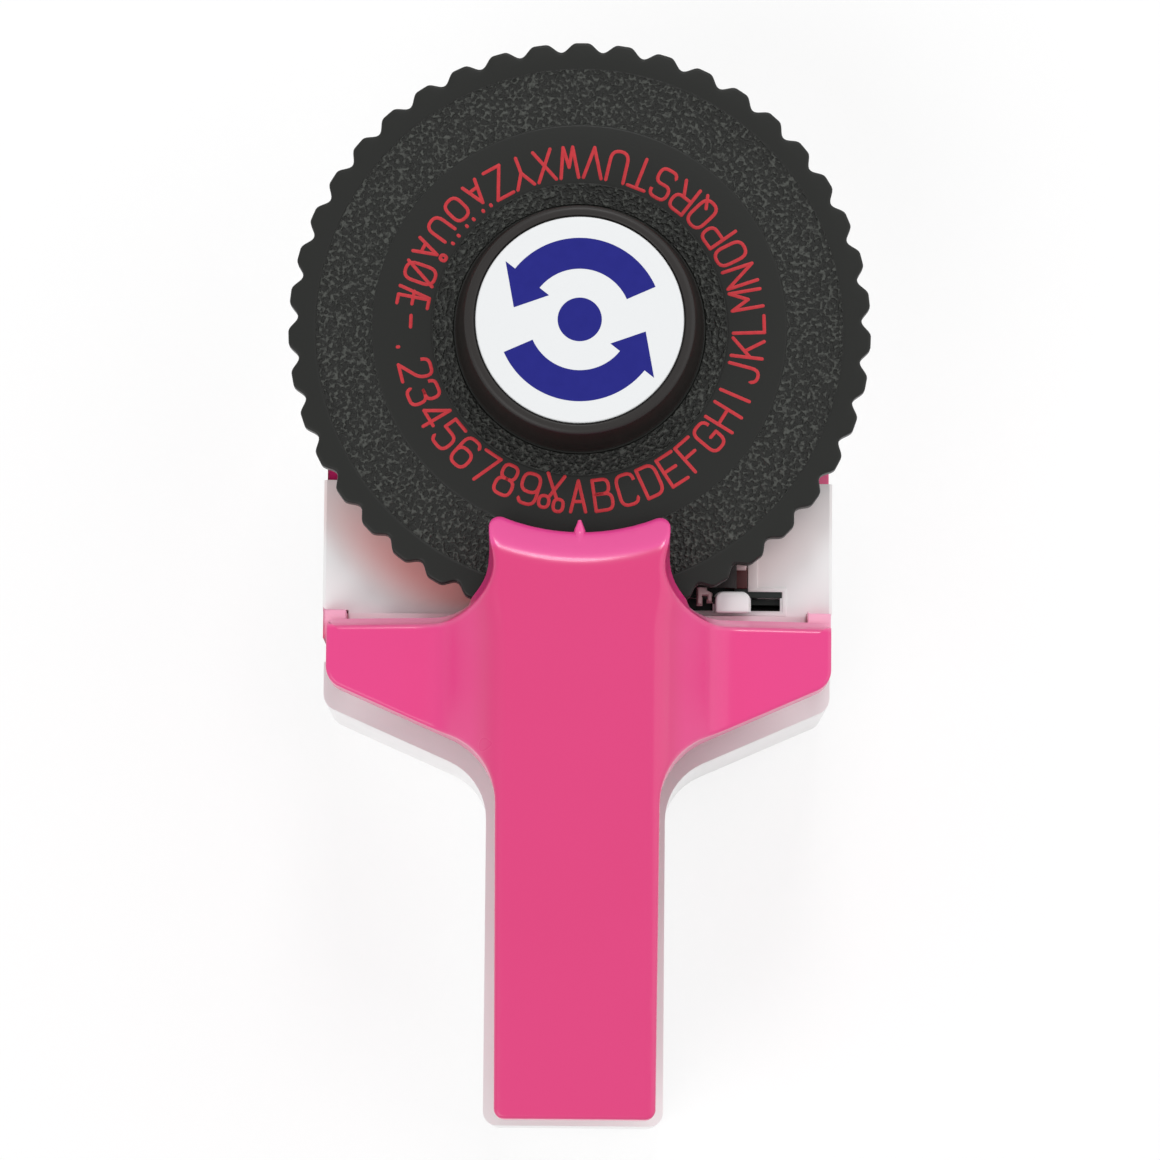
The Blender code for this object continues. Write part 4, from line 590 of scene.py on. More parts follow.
strokes = []
for index, sign in enumerate(SIGNS.values()):
    angle = -pi / 2 + index * 2 * pi / TEETH
    out = Vector((cos(angle), sin(angle)))
    sideways = Vector((-out.y, out.x))
    for closed, line in sign_lines(sign):
        flat = [out * (SIGN_FOOT - y * GRID_Y) + sideways * ((x - 2) * GRID_X) for x, y in line]
        places = [(place, 1.0) for place in flat]
        if not closed:
            places = end_cap(flat[0], flat[1]) + places + end_cap(flat[-1], flat[-2])[::-1]
        strokes.append(([(*place, 0, share) for place, share in places], closed))
signs = tubes("strokes", STROKE, 2, strokes)
for vertex in signs.verts:
    vertex.co.z = DIAL_TOP + vertex.co.z * FLATTENED - 0.02 * MM
add_piece("dial_letters", signs, letter_red, "dial")

# %% [markdown]
# ## The knob and the badge
# The black hub is turned too: a slightly flared wall, a soft edge and a recess for the badge. The
# badge of the real tool is printed. This one has a plain design of its own, two arrows that go round
# a dot, because the dial is turned; they are thin raised shapes, cut out of a ring.

# %% Knob
KNOB_LOW, KNOB_TOP = 41.8 * MM, 49.6 * MM
KNOB_HOLLOW, KNOB_ROOF = 14 * MM, 47.4 * MM
BADGE = 14.7 * MM
RECESS = KNOB_TOP - 0.8 * MM
knob_profile = [(0, RECESS), (BADGE + 0.15 * MM, RECESS)]
knob_profile += arc((BADGE + 0.4 * MM, KNOB_TOP - 0.25 * MM), 0.25 * MM, 180, 90, 4)
knob_profile += arc((15.55 * MM, RECESS), 0.8 * MM, 90, 8, 8)
knob_profile += [(16.9 * MM, 45 * MM), (17.25 * MM, 42.6 * MM), (17.45 * MM, 42.05 * MM)]
knob_profile += [(17.6 * MM, KNOB_LOW), (KNOB_HOLLOW, KNOB_LOW), (KNOB_HOLLOW, KNOB_ROOF), (0, KNOB_ROOF)]
add_piece("dial_hub", turned(knob_profile, 160), hub_black, "dial", ["dial_knob"], 50)

# %% Badge
CARD_LOW = KNOB_TOP - 0.6 * MM
card_profile = [(0, KNOB_TOP), (BADGE - 0.35 * MM, KNOB_TOP)]
card_profile += arc((BADGE - 0.3 * MM, KNOB_TOP - 0.25 * MM), 0.25 * MM, 80, 0, 3)
card_profile += [(BADGE - 0.05 * MM, CARD_LOW), (0, CARD_LOW)]
add_piece("badge_card", turned(card_profile, 128), badge_white, "dial", ["badge_disc"], 50)


# %% Its print
def plate(working, points, low, high, along="Z"):
    """An outline given thickness along Z or X, as separate vertices."""
    ends = []
    for place in (low, high):
        ends.append([working.verts.new((place, *p) if along == "X" else (*p, place)) for p in points])
    for end in ends:
        working.faces.new(end)
    rail(working, *ends)
    return ends[0] + ends[1]


INK = (KNOB_TOP - 0.1 * MM, KNOB_TOP + 0.02 * MM)
BAND_IN, BAND_OUT, BARB, DOT = 7.2 * MM, 11.6 * MM, 1.7 * MM, 3.1 * MM
BAND_START, BAND_END, TIP = 24, 142, 170  # degrees, in each half turn
middle = (BAND_IN + BAND_OUT) / 2
ink = bmesh.new()
for half in (0, 180):
    outer = arc((0, 0), BAND_OUT, half + BAND_START, half + BAND_END, 40)
    inner = arc((0, 0), BAND_IN, half + BAND_END, half + BAND_START, 40)
    head = [(BAND_OUT + BARB, BAND_END), (middle, TIP), (BAND_IN - BARB, BAND_END)]
    head = [arc((0, 0), far, half + degrees, half + degrees, 1)[0] for far, degrees in head]
    plate(ink, outer + head + inner, *INK)
plate(ink, arc((0, 0), DOT, 0, 354, 59), *INK)
add_piece("badge_print", ink, badge_blue, "dial")

# %% [markdown]
# ## The lever: its outline
# The lever is one thin moulding, shaped like a T: a high spine, two low wings joined to it by hollow
# saddles, and skirts that go down all round. Its outline is a list of corners with radii. The same
# list, moved inwards, gives the rings that round the edges, so every ring has the same points.

# %% Sizes of the lever
LEVER_TOP, WING_TOP = 50.5 * MM, 41 * MM
SPINE = 11.6 * MM  # half width at the start of the slope
HOLLOW, TILT = 6 * MM, radians(49)  # the hollow's radius, and the slope above it
SLOPE_WIDTH = (LEVER_TOP - WING_TOP - HOLLOW * (1 - cos(TILT))) / tan(TILT)
SADDLE = SLOPE_WIDTH + HOLLOW * sin(TILT)
NOSE_FOOT, NOSE_CREST, NOSE_LOW = 29.7 * MM, 34.1 * MM, 47.3 * MM
NOSE_HALF, WING_HALF, GRIP_HALF, TAIL_HALF = 12.7 * MM, 35.6 * MM, 11.5 * MM, 11.15 * MM
NOSE_ROOT, WING_FRONT, WING_BACK, TAIL_END = -41 * MM, -41.4 * MM, -50.3 * MM, -111.6 * MM
SLANT = radians(23.77)
print("saddle:", round(SADDLE / MM, 2), "mm wide")


# %% Outline of the lever
NOSE_STEPS, NOSE_KEPT = 18, 15  # the arc's last steps give way to its corner


def corner_arc(corner, before, after, radius, steps):
    """The rounded corner between two neighbours, always with the same number of points."""
    to_before, to_after = (before - corner).normalized(), (after - corner).normalized()
    half = to_before.angle(to_after) / 2
    centre = corner + (to_before + to_after).normalized() * radius / sin(half)
    start = corner + to_before * radius / tan(half) - centre
    side = 1 if to_before.cross(to_after) < 0 else -1
    turns = [side * (pi - 2 * half) * k / steps for k in range(steps + 1)]
    return [centre + Matrix.Rotation(turn, 2) @ start for turn in turns]


def half_outline(inset):
    """Key points of the lever's right half, moved inwards, from the nose to the tail."""
    nose, side, grip, tail = (half - inset for half in (NOSE_HALF, WING_HALF, GRIP_HALF, TAIL_HALF))

    def on_nose(x):
        return Vector((x, -sqrt((NOSE_FOOT + inset)**2 - x**2)))

    def back_edge(x):
        return WING_BACK - (WING_HALF - x) * tan(SLANT) + inset / cos(SLANT)

    def bulge(radius):
        return max(radius - inset, 0.02 * MM)

    corners = [
        (*on_nose(nose), bulge(1.5 * MM), 6),
        (nose, NOSE_ROOT - inset, 8 * MM + inset, 14),
        (side, WING_FRONT - inset, bulge(0.9 * MM), 5),
        (side, back_edge(side), bulge(3.2 * MM), 8),
        (grip, back_edge(grip), 11 * MM + inset, 12),
        (tail, TAIL_END + inset, bulge(1.4 * MM), 6),
    ]
    last = Vector((0, TAIL_END + inset))
    points = [on_nose(nose * k / NOSE_STEPS) for k in range(NOSE_KEPT)]
    places = [points[-1]] + [Vector(corner[:2]) for corner in corners] + [last]
    for before, place, after, (_, _, radius, steps) in zip(places, places[1:], places[2:], corners):
        points += corner_arc(place, before, after, radius, steps)
    return points + [last]


# Each run between key points is cut into as many pieces on every ring as on the outer one.
OUTER_KEYS = half_outline(0)
RUNS = [max(1, round((b - a).length / (0.9 * MM))) for a, b in zip(OUTER_KEYS, OUTER_KEYS[1:])]


def outline(inset):
    """The whole ring at an inset, clockwise from the middle of the nose."""
    keys = half_outline(inset)
    half = []
    for a, b, count in zip(keys, keys[1:], RUNS):
        half += [a.lerp(b, k / count) for k in range(count)]
    half.append(keys[-1])
    return half + [Vector((-p.x, p.y)) for p in reversed(half[1:-1])]


print("points in a ring:", len(outline(0)), "and at 2 mm:", len(outline(2 * MM)))

# %% [markdown]
# ## The lever: height of its skin
# Seen from above, the lever's skin has one height at each place, so a formula can give it: the flat
# spine, a soft shoulder, a slope of 49 degrees that a hollow arc carries out to the wings, and the
# sloped hollow nose. Another gives the skirt's lower edge, which rises along the handle and over the
# dial, where it has to clear the rim when the lever is squeezed. Beside the nose the skin stays above
# that edge and flows down.

# %% The lever when it is squeezed
PIN_Y, PIN_Z = -14 * MM, 27 * MM
SQUEEZE_COS, SQUEEZE_SIN = 0.9914, 0.1305  # of the 7.5 degrees that it turns on its pins
RIM_ABOVE_PIN = 14.95 * MM  # with 0.45 mm of room
RIM_SHIFT = 2.3 * MM  # how far the nose, high above the pins, goes back in that turn


def pressed_reach(x, y):
    """How far a point is from the dial's axis once the lever is squeezed."""
    return hypot(x, PIN_Y + (y - PIN_Y) * SQUEEZE_COS - RIM_SHIFT)


def rim_room(y):
    """The height at which the lever still clears the dial when it is squeezed."""
    return PIN_Z + (RIM_ABOVE_PIN + (PIN_Y - y) * SQUEEZE_SIN) / SQUEEZE_COS


# %% Heights
SKIRT_LOW, HANDLE_RISE, BESIDE_NOSE = 35 * MM, 5 * MM, 38.95 * MM
ROUNDING = 0.9 * MM


def smooth_low(a, b, blend):
    """The lower of two heights, with the crease between them rounded."""
    h = max(0.0, min(1.0, 0.5 + 0.5 * (b - a) / blend))
    return b * (1 - h) + a * h - blend * h * (1 - h)


def ease(value, low, high):
    """0 up to low, 1 from high on, and a soft step between them."""
    t = max(0.0, min(1.0, (value - low) / (high - low)))
    return t * t * (3 - 2 * t)


def skirt_foot(x, y):
    """The lever's lower edge: low at the wings, higher along the handle, and clear of the dial."""
    low = SKIRT_LOW + HANDLE_RISE * ease(-y, 57.5 * MM, 72 * MM)
    low += max(0, BESIDE_NOSE - low) * ease(y, -42.05 * MM, -41.8 * MM)
    over_dial = 1 - ease(pressed_reach(x, y), 43.3 * MM, 44.1 * MM)
    return low + max(0, rim_room(y) - low) * over_dial


def nose_height(away):
    """The nose's slope, which rises with the distance from the dial's axis."""
    return NOSE_LOW + (away - NOSE_FOOT) / (NOSE_CREST - NOSE_FOOT) * (LEVER_TOP - NOSE_LOW)


def skin(x, y):
    """The lever's upper side."""
    out = abs(x) - SPINE - 0.9 * MM * ease(y, -44 * MM, -37 * MM)
    if out < SLOPE_WIDTH:
        height = smooth_low(LEVER_TOP, LEVER_TOP - out * tan(TILT), 2 * ROUNDING)
    else:
        height = WING_TOP + HOLLOW - sqrt(HOLLOW**2 - max(0, SADDLE - out) ** 2)
    by_dial = 1 - ease(pressed_reach(x, y), 42.5 * MM, 48.5 * MM)
    crown = WING_TOP + (rim_room(y) + 1.1 * MM - WING_TOP) * by_dial
    height = -smooth_low(-height, -crown, ROUNDING)
    return smooth_low(height, nose_height(hypot(x, y)), ROUNDING)


print("skin at the saddle:", round(skin(15 * MM, -70 * MM) / MM, 2), "mm")

# %% [markdown]
# ## The lever: its mesh
# Rings of points climb the skirt, turn over its rounded edge, and close onto a fine lattice that
# fills the top. The lattice has lines along the spine's edges and the saddles, so the highlights run
# straight. A constrained triangulation joins lattice and ring without crossing that edge. The inside
# is a second, coarser skin 2 mm below.

# %% A lattice that closes a ring
def lattice(ring, columns, row, margin):
    """Points on the given columns and at even rows, inside the ring and clear of it."""
    lowest = min(p.y for p in ring)
    points = []
    for x in columns:
        crossings = []
        for a, b in zip(ring, ring[1:] + ring[:1]):
            if (a.x > x) != (b.x > x):
                crossings.append(a.y + (b.y - a.y) * (x - a.x) / (b.x - a.x))
        crossings.sort()
        for low, high in zip(crossings[::2], crossings[1::2]):
            first = ceil((low + margin - lowest) / row)
            last = int((high - margin - lowest) / row)
            points += [Vector((x, lowest + k * row)) for k in range(first, last + 1)]
    near_ring = KDTree(len(ring))
    for k, place in enumerate(ring):
        near_ring.insert((*place, 0), k)
    near_ring.balance()
    return [p for p in points if near_ring.find((*p, 0))[2] > margin]


def cover(working, ring_verts, ring, points, height):
    """Closes a ring of vertices with a triangulated lattice at the height given by a function."""
    count = len(ring)
    edges = [(k, (k + 1) % count) for k in range(count)]
    found, _, faces, origins, _, _ = delaunay_2d_cdt(ring + points, edges, [], 1, 0.002 * MM)
    verts = []
    for place, origin in zip(found, origins):
        source = [k for k in origin if k < count]
        verts.append(ring_verts[source[0]] if source else working.verts.new((*place, height(*place))))
    for face in faces:
        if len({verts[k] for k in face}) == 3:
            working.faces.new([verts[k] for k in face])


# %% How the skirt ends and how its edge rounds
WALL = 2 * MM
OUTER, MIDDLE, INNER = outline(0), outline(WALL / 2), outline(WALL)
FOOT_ROUND = 0.2 * MM
EDGE_STEPS = 6


def at_inset(k, inset):
    """Point k of the ring at any inset up to the wall's thickness."""
    if inset < 1 * MM:
        return OUTER[k].lerp(MIDDLE[k], inset / MM)
    return MIDDLE[k].lerp(INNER[k], inset / MM - 1)


def skirt_shape(k):
    """At point k: the skirt's foot, the radius of its upper edge, and how far it leans inwards."""
    base = OUTER[k]
    foot = skirt_foot(*base)
    facing = (base - MIDDLE[k]).normalized().y
    front = max(ease(facing, 0.1, 0.7), ease(base.y, -42 * MM, -38 * MM))
    front *= ease(-base.y, 29.5 * MM, 36 * MM)
    edge = min(0.55 * MM + 0.45 * MM * front, max(0.12 * MM, (skin(*base) - foot) * 0.45))
    lean = min(0.9 * MM * front, 0.4 * (skin(*at_inset(k, 0.9 * MM)) - foot))
    return foot, edge, lean


# %% Rings of the skirt, and the top
shell = bmesh.new()
shapes = [skirt_shape(k) for k in range(len(OUTER))]
rings = []
for step in range(-2, EDGE_STEPS + 1):
    ring = []
    for k, (foot, edge, lean) in enumerate(shapes):
        if step == -2:
            inset, height = FOOT_ROUND, foot
        elif step == -1:
            inset, height = 0, foot + FOOT_ROUND
        else:
            angle = pi / 2 * step / EDGE_STEPS
            inset = lean + edge * (1 - cos(angle))
            height = skin(*at_inset(k, inset)) - edge * (1 - sin(angle))
            height = max(height, foot + FOOT_ROUND + 0.02 * MM * step)
        ring.append(shell.verts.new((*at_inset(k, inset), height)))
    rings.append(ring)
for lower, upper in zip(rings, rings[1:]):
    rail(shell, lower, upper)


def both_sides(columns):
    """The columns and their mirror images, in order."""
    return sorted({round(side * x, 7) for x in columns for side in (1, -1)})


columns = [k * 1.1 * MM for k in range(10)]
columns += [SPINE + k * 0.3 * MM for k in range(-4, 9)]
columns += [SPINE + 2.4 * MM + (SADDLE - 2.4 * MM) * k / 14 for k in range(1, 15)]
columns += [SPINE + SADDLE + k * 1.2 * MM for k in range(1, 13)]
top_ring = [Vector(v.co[:2]) for v in rings[-1]]
cover(shell, rings[-1], top_ring, lattice(top_ring, both_sides(columns), 0.8 * MM, 0.35 * MM), skin)
print("top skin:", len(shell.faces), "faces")


# %% The inside
def ceiling(x, y):
    """The hollow's roof."""
    return max(skin(x, y) - WALL, skirt_foot(x, y) + 0.05 * MM)


inner_low = [shell.verts.new((*p, skirt_foot(*p))) for p in INNER]
inner_high = [shell.verts.new((*p, ceiling(*p) + 0.01 * MM)) for p in INNER]
rail(shell, inner_low, rings[0])
rail(shell, inner_high, inner_low)
coarse = both_sides([k * 2.4 * MM for k in range(15)])
cover(shell, inner_high, INNER, lattice(INNER, coarse, 2 * MM, 0.6 * MM), ceiling)
print("with the inside:", len(shell.faces), "faces")

# %% [markdown]
# ## The lever: its arms, its pointer and the spring's peg
# Two flat arms reach down from the wings and turn on the pins. They are outlines given thickness, in
# a piece of their own, because their finish paints light on them: pink at the pins and paler towards
# the top. The small fin on the nose that points at a letter is a row of sections, and a round peg
# under the spine holds the spring's end. The photograph has the shell a little to the right of the
# middle.

# %% Arms
def softened(working, verts, width, segments=2, sharp=35):
    """Rounds the edges among these vertices that are sharper than sharp, in degrees."""
    working.normal_update()
    chosen = set(verts)
    edges = [e for e in working.edges if e.verts[0] in chosen and e.verts[1] in chosen
             and len(e.link_faces) == 2 and e.calc_face_angle(0) > radians(sharp)]
    bmesh.ops.bevel(working, geom=edges, offset=width, segments=segments, profile=0.5, affect="EDGES",
                    clamp_overlap=True)


ARM_FRONT, ARM_BACK, ARM_TOP = -39.9 * MM, -43.7 * MM, 38.3 * MM
ARM_INSIDE, ARM_OUTSIDE = 32.62 * MM, 35.9 * MM
arm = [(ARM_FRONT, 30.2 * MM), (ARM_FRONT, ARM_TOP), (ARM_BACK, ARM_TOP), (ARM_BACK, 25.2 * MM)]
arm += arc((PIN_Y, PIN_Z), 3.3 * MM, 270, 450, 20)
arms = bmesh.new()
for side in (1, -1):
    span = sorted((side * ARM_INSIDE, side * ARM_OUTSIDE))
    softened(arms, plate(arms, arm, *span, "X"), 0.3 * MM)
add_piece("lever_arms", arms, arm_pink_painted_light, "lever", (), 50)


# %% Pointer and peg
def pointer_ring(working, share):
    """A section of the little fin on the nose: share 0 is its tip, 1 its root on the slope."""
    y = -28.1 * MM - 3.9 * MM * share
    half = (0.22 + 0.62 * ease(share, -0.1, 0.45)) * MM
    slope = nose_height(max(NOSE_FOOT, -y))
    low = max(44.6 * MM, slope - 0.9 * MM)
    high = slope + (0.45 * (1 - share) - 0.08 * share) * MM
    bow = [radians(a) for a in range(0, 181, 30)]
    points = [(half * cos(a), low + (high - low) * (0.3 + 0.7 * sin(a))) for a in bow]
    points += [(-half, low), (half, low)]
    return [working.verts.new((x, y, z)) for x, z in points]


SPRING_Y = -58.5 * MM
SIDE_PLAY = 0.25 * MM
fin = [pointer_ring(shell, k / 10) for k in range(11)]
for near, far in zip(fin, fin[1:]):
    rail(shell, near, far)
shell.faces.new(fin[0])
shell.faces.new(fin[-1])
plate(shell, [(x, y + SPRING_Y) for x, y in arc((0, 0), 1.6 * MM, 0, 345, 23)], 44.6 * MM, 48.6 * MM)
for vertex in shell.verts:
    vertex.co.x += SIDE_PLAY
add_piece("lever_shell", shell, pink, "lever", ["press_lever"], 50)

# %% [markdown]
# ## The return spring
# The coil between body and lever shows from the side. It is wound from a formula, point by point,
# with its turns closer together at the ends.

# %% Spring
TURNS, PER_TURN = 7, 24
COIL_RADIUS, SPRING_FOOT, SPRING_HEIGHT = 4.6 * MM, 26.8 * MM, 20.9 * MM
EASED = 0.2  # share of the climb that is slow at both ends
wound = []
for k in range(TURNS * PER_TURN + 1):
    angle = 2 * pi * k / PER_TURN
    share = k / (TURNS * PER_TURN)
    climb = ease(share, 0, 1) * EASED + share * (1 - EASED)
    x, y = COIL_RADIUS * cos(angle), SPRING_Y + COIL_RADIUS * sin(angle)
    wound.append((x, y, SPRING_FOOT + SPRING_HEIGHT * climb, 1))
wire = tubes("spring_wire", 0.45 * MM, 3, [(wound, False)])
coil = add_piece("spring_coil", wire, steel, "housing", ["return_spring"])
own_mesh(coil)

# %% [markdown]
# ## The feed slider
# The pale tab beside the dial draws the tape on by one letter. Seen from above it is a block with two
# rounded front corners and a soft edge, and its foot is set forward, clear of the deck's lip. The
# solid is rounder, so this block stands for it: an outline, given height, with its edges bevelled. A
# dark arm joins it to the small two-pronged fork, whose corner next to the tape is cut off, so that
# it stays clear of the strip when the slider moves.

# %% Slider, with its sizes in mm
TAB_LEFT, TAB_RIGHT, TAB_BACK, TAB_FRONT = 19.6, 24.35, -39.8, -36.75
TAB_LOW, TAB_TOP, TAB_FOOT_BACK = 33.6, 37.15, -39.35


def block_outline(left, right, back, front, radius):
    """A rectangle whose two front corners are round, as (x, y)."""
    corners = [(left, back), (right, back)]
    corners += arc((right - radius, front - radius), radius, 0, 90, 6)
    return corners + arc((left + radius, front - radius), radius, 90, 180, 6)


def block(points, low, high, edge, segments=2):
    """An outline in mm, given height, with its edges rounded by edge, as a mesh of its own."""
    working = bmesh.new()
    points = [(x * MM, y * MM) for x, y in points]
    softened(working, plate(working, points, low * MM, high * MM), edge * MM, segments, 50)
    return working


tab = block(block_outline(TAB_LEFT, TAB_RIGHT, TAB_BACK, TAB_FRONT, 1.05), TAB_LOW, TAB_TOP, 0.35, 3)
for vertex in tab.verts:
    if vertex.co.z < 36 * MM and vertex.co.y < -39 * MM:
        vertex.co.y = TAB_FOOT_BACK * MM
stem = block_outline(TAB_LEFT + 0.3, TAB_RIGHT - 0.3, -39, -37.6, 0.3)
plate(tab, [(x * MM, y * MM) for x, y in stem], 31 * MM, (TAB_LOW + 0.1) * MM)
add_piece("slider_tab", tab, white, "feed", ["feed_slider"])

# %% Fork and its arm, in mm
FORK_LEFT, FORK_RIGHT, PRONG = 17.1, 19.1, 0.55
PRONG_END_LEFT, PRONG_END_RIGHT, CROTCH = -38.4, -38, -37.1
FORK_ROUND, FORK_ROUND_Y = 0.45, -35.85
fork = [(FORK_LEFT, PRONG_END_LEFT), (FORK_LEFT + PRONG, PRONG_END_LEFT), (FORK_LEFT + PRONG, CROTCH)]
fork += [(FORK_RIGHT - PRONG, CROTCH), (FORK_RIGHT - PRONG, PRONG_END_RIGHT), (FORK_RIGHT, PRONG_END_RIGHT)]
fork += [(FORK_RIGHT, -36.8), (FORK_RIGHT - 0.8, -36.45)]
fork += arc((FORK_RIGHT - 1.25, FORK_ROUND_Y), FORK_ROUND, 0, 90, 3)
fork += arc((FORK_LEFT + FORK_ROUND, FORK_ROUND_Y), FORK_ROUND, 90, 180, 3)
add_piece("feed_fork", block(fork, 34.1, 35.8, 0.15), rosy_grey, "feed", ["feed_finger"])

arm_left, arm_right = FORK_LEFT + 0.2, TAB_LEFT + 0.3
link = [(arm_left, CROTCH), (arm_right, -38.3), (arm_right, -37.5), (arm_left, -36.2)]
add_piece("fork_arm", block(link, 33.75, 34.2, 0.1), dark, "feed")

# %% [markdown]
# ## The tape guide and the edge of the slot
# Beside the tab a dark red-brown block guides the tape. The pale tip at its far end is a painted
# highlight on the block's top edge. A thin black strip round it is partly the rail's folded rim and
# partly painted shade: a dark sheet laid on the deck where the dial's shadow falls. The deck has a low
# raised edge round the feed slot, which is moulded on it. All are outlines given height. The edge is a
# narrow strip, 0.2 mm high, that runs under the slot and round its right end, and then forward beside
# the guide.

# %% Guide block, its painted highlight, and the rail strip with painted shade, in mm
DECK_TOP = 32.5
SUNK = DECK_TOP - 0.05  # strips on the deck start a little inside it
guide = block(block_outline(21, 24.2, -35.9, -32.5, 0.6), 30.8, 33.3, 0.2)
add_piece("guide_block", guide, maroon, "housing", ["tape_guide"])

# Partly the rail's rim, partly painted shade: a dark sheet on the deck where the dial's shadow falls.
rail_and_shade_outline = [(15.5, -37.15), (29.15, -37.15), (29.15, -36.32), (24.28, -36.32), (24.28, -32), (15.5, -32)]
add_piece("rail_flange_painted_shade", block(rail_and_shade_outline, SUNK, DECK_TOP + 0.12, 0.05, 1), rail_dark, "housing")

# Painted highlight: a pale piece that stands for the lit top edge of the guide block.
highlight_cap = block(block_outline(22.3, 24, -33.3, -32.6, 0.3), 33.2, 33.8, 0.15)
add_piece("guide_painted_highlight", highlight_cap, rosy_grey, "housing")

# %% Edge of the slot, in mm
SLOT_LEFT, SLOT_RIGHT, SLOT_LOW, SLOT_HIGH = 16, 29.2, -39.15, -36.3
GUIDE_RIGHT, RIDGE, RIDGE_RIGHT, RIDGE_FAR = 24.3, 0.6, 25.7, -30
ridge = [(SLOT_LEFT, SLOT_LOW), (SLOT_RIGHT, SLOT_LOW), (SLOT_RIGHT, SLOT_HIGH), (GUIDE_RIGHT, SLOT_HIGH)]
ridge += [(GUIDE_RIGHT, RIDGE_FAR), (RIDGE_RIGHT, RIDGE_FAR), (RIDGE_RIGHT, SLOT_HIGH + RIDGE)]
ridge += [(SLOT_RIGHT + RIDGE, SLOT_HIGH + RIDGE), (SLOT_RIGHT + RIDGE, SLOT_LOW - RIDGE)]
ridge += [(SLOT_LEFT, SLOT_LOW - RIDGE)]
add_piece("slot_edge", block(ridge, SUNK, DECK_TOP + 0.2, 0.12), deck_white_painted_light, "housing")

# %% [markdown]
# ## Finishes for the pieces that stay
# Most solids already have the right shape, so they only get a finish. The white shells also get the
# rounded edges of a moulding: the loaded mesh has split corners, so a Weld joins them first, and a
# Bevel that looks at angles rounds what is left sharp.

# %% Dress the nodes
SLOT_FINISH = {"white_plastic": white, "pink_plastic": pink, "black_plastic": black,
               "dark_plastic": dark, "tape_vinyl": vinyl, "badge_white": badge_white, "steel": steel}
NODE_FINISH = {"top_deck": deck_white_painted_light, "feed_rail": rail_dark, "tape_strip": tape_back}
ROUNDED = {"lower_housing": 0.5 * MM, "top_deck": 0.25 * MM, "grip_plate": 0.35 * MM, "tape_door": 0.35 * MM}
for entry in frame["record"]["subparts"]:
    node = frame["nodes"][entry["node"]]
    node.data.materials.clear()
    node.data.materials.append(NODE_FINISH.get(entry["node"], SLOT_FINISH[entry["material_slot"]]).material)
    if entry["node"] in ROUNDED:
        weld = node.modifiers.new("weld", "WELD")
        weld.merge_threshold = 0.01 * MM
        bevel = node.modifiers.new("edge", "BEVEL")
        bevel.width, bevel.segments = ROUNDED[entry["node"]], 2
        bevel.limit_method, bevel.angle_limit = "ANGLE", radians(40)
        bevel.harden_normals = True

# %% [markdown]
# ## The camera and the light
# The picture was taken from far away, almost straight down. The camera stands 750 mm off and leans
# back 6.6 degrees. Three soft lamps shape the tool: a wide one gives the highlights on the lever's
# right side, a small one beyond the dial lights the nose's slope, and one lights the left flanks.

# %% Camera
TARGET = Vector((0.356, -36.24, 45)) * MM
AWAY = 0.75
LEAN, ROLL = radians(6.59), radians(0.5)
SENSOR_MM, PICTURE_PIXELS, FOCAL_PIXELS = 36, 1160, 5347.7
toward = Vector((0, sin(LEAN), -cos(LEAN)))
level_right = Vector((1, 0, 0))
level_up = Vector((0, cos(LEAN), sin(LEAN)))
right = cos(ROLL) * level_right + sin(ROLL) * level_up
up = -sin(ROLL) * level_right + cos(ROLL) * level_up
camera = add_object("camera", bpy.data.cameras.new("camera"))
turn = Matrix((right, up, -toward)).transposed()
camera.matrix_world = Matrix.Translation(TARGET - AWAY * toward) @ turn.to_4x4()
camera.data.sensor_width = SENSOR_MM
camera.data.lens = FOCAL_PIXELS / PICTURE_PIXELS * SENSOR_MM
camera.data.clip_start = 0.01
bpy.context.scene.camera = camera
print("lens:", round(camera.data.lens), "mm")

# %% Lamps
LIT_POINT = Vector((0, -0.03, 0.03))


def lamp(name, place, size, power):
    """A round soft lamp that looks at the tool; place and size in metres, power in watts."""
    data = bpy.data.lights.new(name, "AREA")
    data.shape = "DISK"
    data.size = size
    data.energy = power
    item = add_object(name, data)
    item.location = place
    item.rotation_euler = (LIT_POINT - Vector(place)).to_track_quat("-Z", "Y").to_euler()


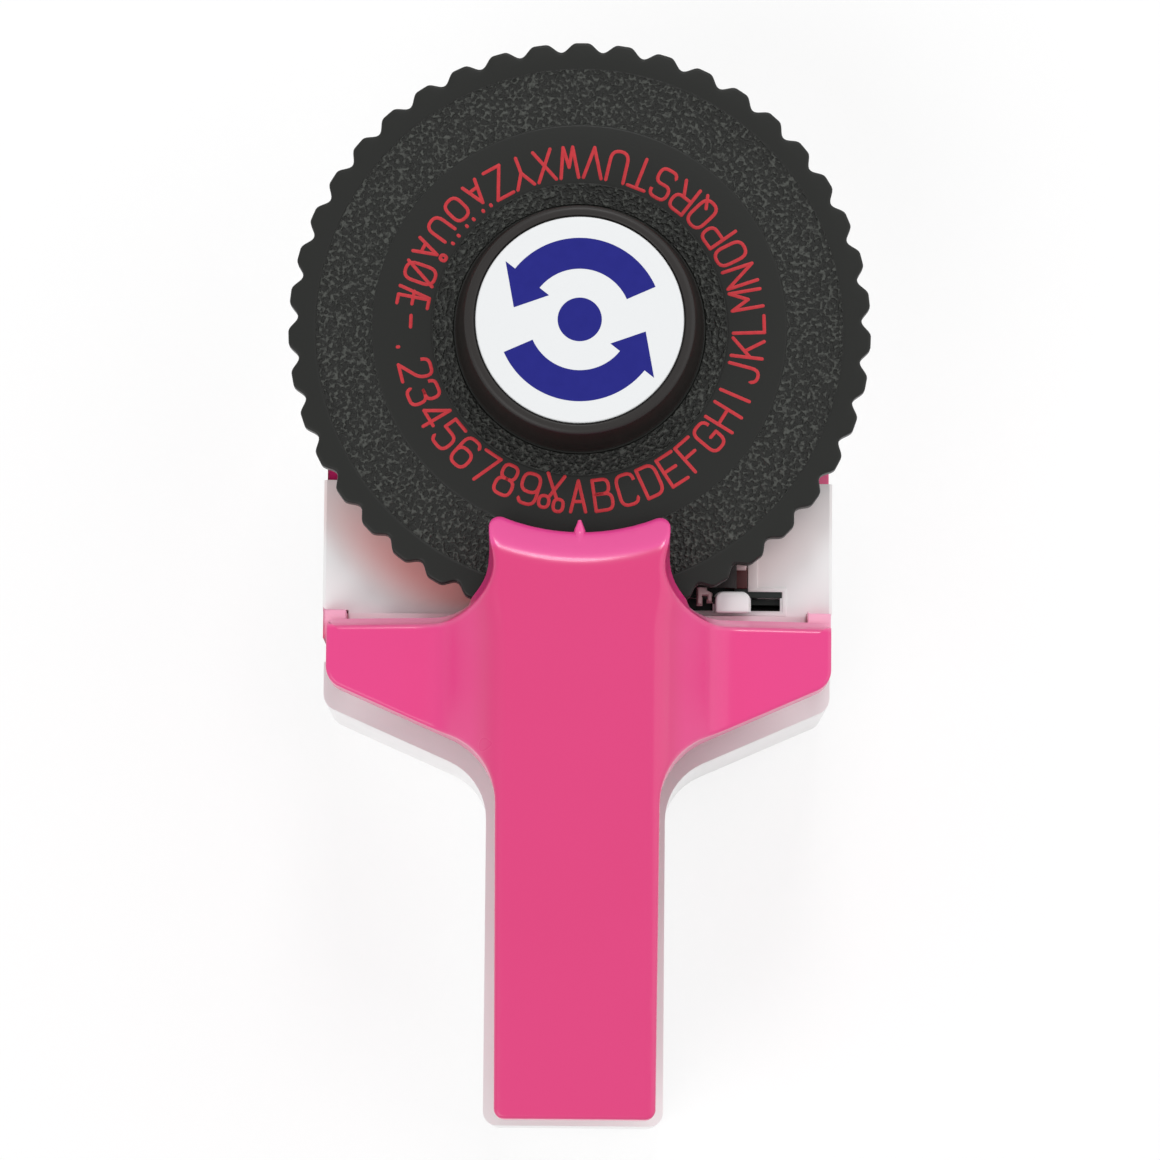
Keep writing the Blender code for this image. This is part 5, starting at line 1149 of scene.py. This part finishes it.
lamp("right", (0.7, 0.15, 0.55), 1.2, 2.3)
lamp("far", (0.05, 0.68, 0.7), 0.27, 2.1)
lamp("near", (-0.45, -0.5, 0.75), 0.8, 2.9)
print("lamps:", len(bpy.data.lights))

# %% [markdown]
# ## The white surrounding
# The tool stands on a white ground with a faint shadow and no edge. To the camera and to mirrors the
# sky is plain white and the ground a grey that glows, so it comes out white and still takes the
# shadow. To the light's own rays the sky is dimmer and the ground hardly glows, so that the white
# body keeps its shading.

# %% Sky and floor
SKY_LIGHT, SKY_SEEN = 0.52, 1.0
world = bpy.data.worlds.new("studio")
world.use_nodes = True
bpy.context.scene.world = world
surrounding = Nodes(world.node_tree)
sky = world.node_tree.nodes["Background"]
sky.inputs["Color"].default_value = (1, 1, 1, 1)
levels = {"Value": surrounding.seen(), "To Min": SKY_LIGHT, "To Max": SKY_SEEN}
surrounding.put(sky.inputs["Strength"], surrounding.node("ShaderNodeMapRange", values=levels))

FLOOR_WHITE = (0.93, 0.93, 0.93)
FLOOR_REACH, FLOOR_LEVEL = 3, -0.1 * MM
floor_finish = Finish("studio_floor", FLOOR_WHITE, 0.9, gloss=0.0)
watched = floor_finish.seen()
floor_finish.feed(
    Base_Color=floor_finish.between(watched, FLOOR_WHITE, (0.34, 0.34, 0.34)),
    Emission_Color=floor_finish.between(watched, (0.2, 0.2, 0.2), (1, 1, 1)),
    Emission_Strength=0.68,
)
ground = [(x * FLOOR_REACH, y * FLOOR_REACH, FLOOR_LEVEL) for x, y in ((-1, -1), (1, -1), (1, 1), (-1, 1))]
floor_mesh = bpy.data.meshes.new("floor")
floor_mesh.from_pydata(ground, [], [(0, 1, 2, 3)])
floor_mesh.materials.append(floor_finish.material)
floor = add_object("floor", floor_mesh)
floor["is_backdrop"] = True
bpy.context.scene.view_settings.view_transform = "Standard"
print("floor:", FLOOR_REACH * 2, "m wide")

# %% Sizes, and the end
dressed_box = [list(corner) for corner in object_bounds()]
print("dressed:", [[round(v / MM, 2) for v in corner] for corner in dressed_box])
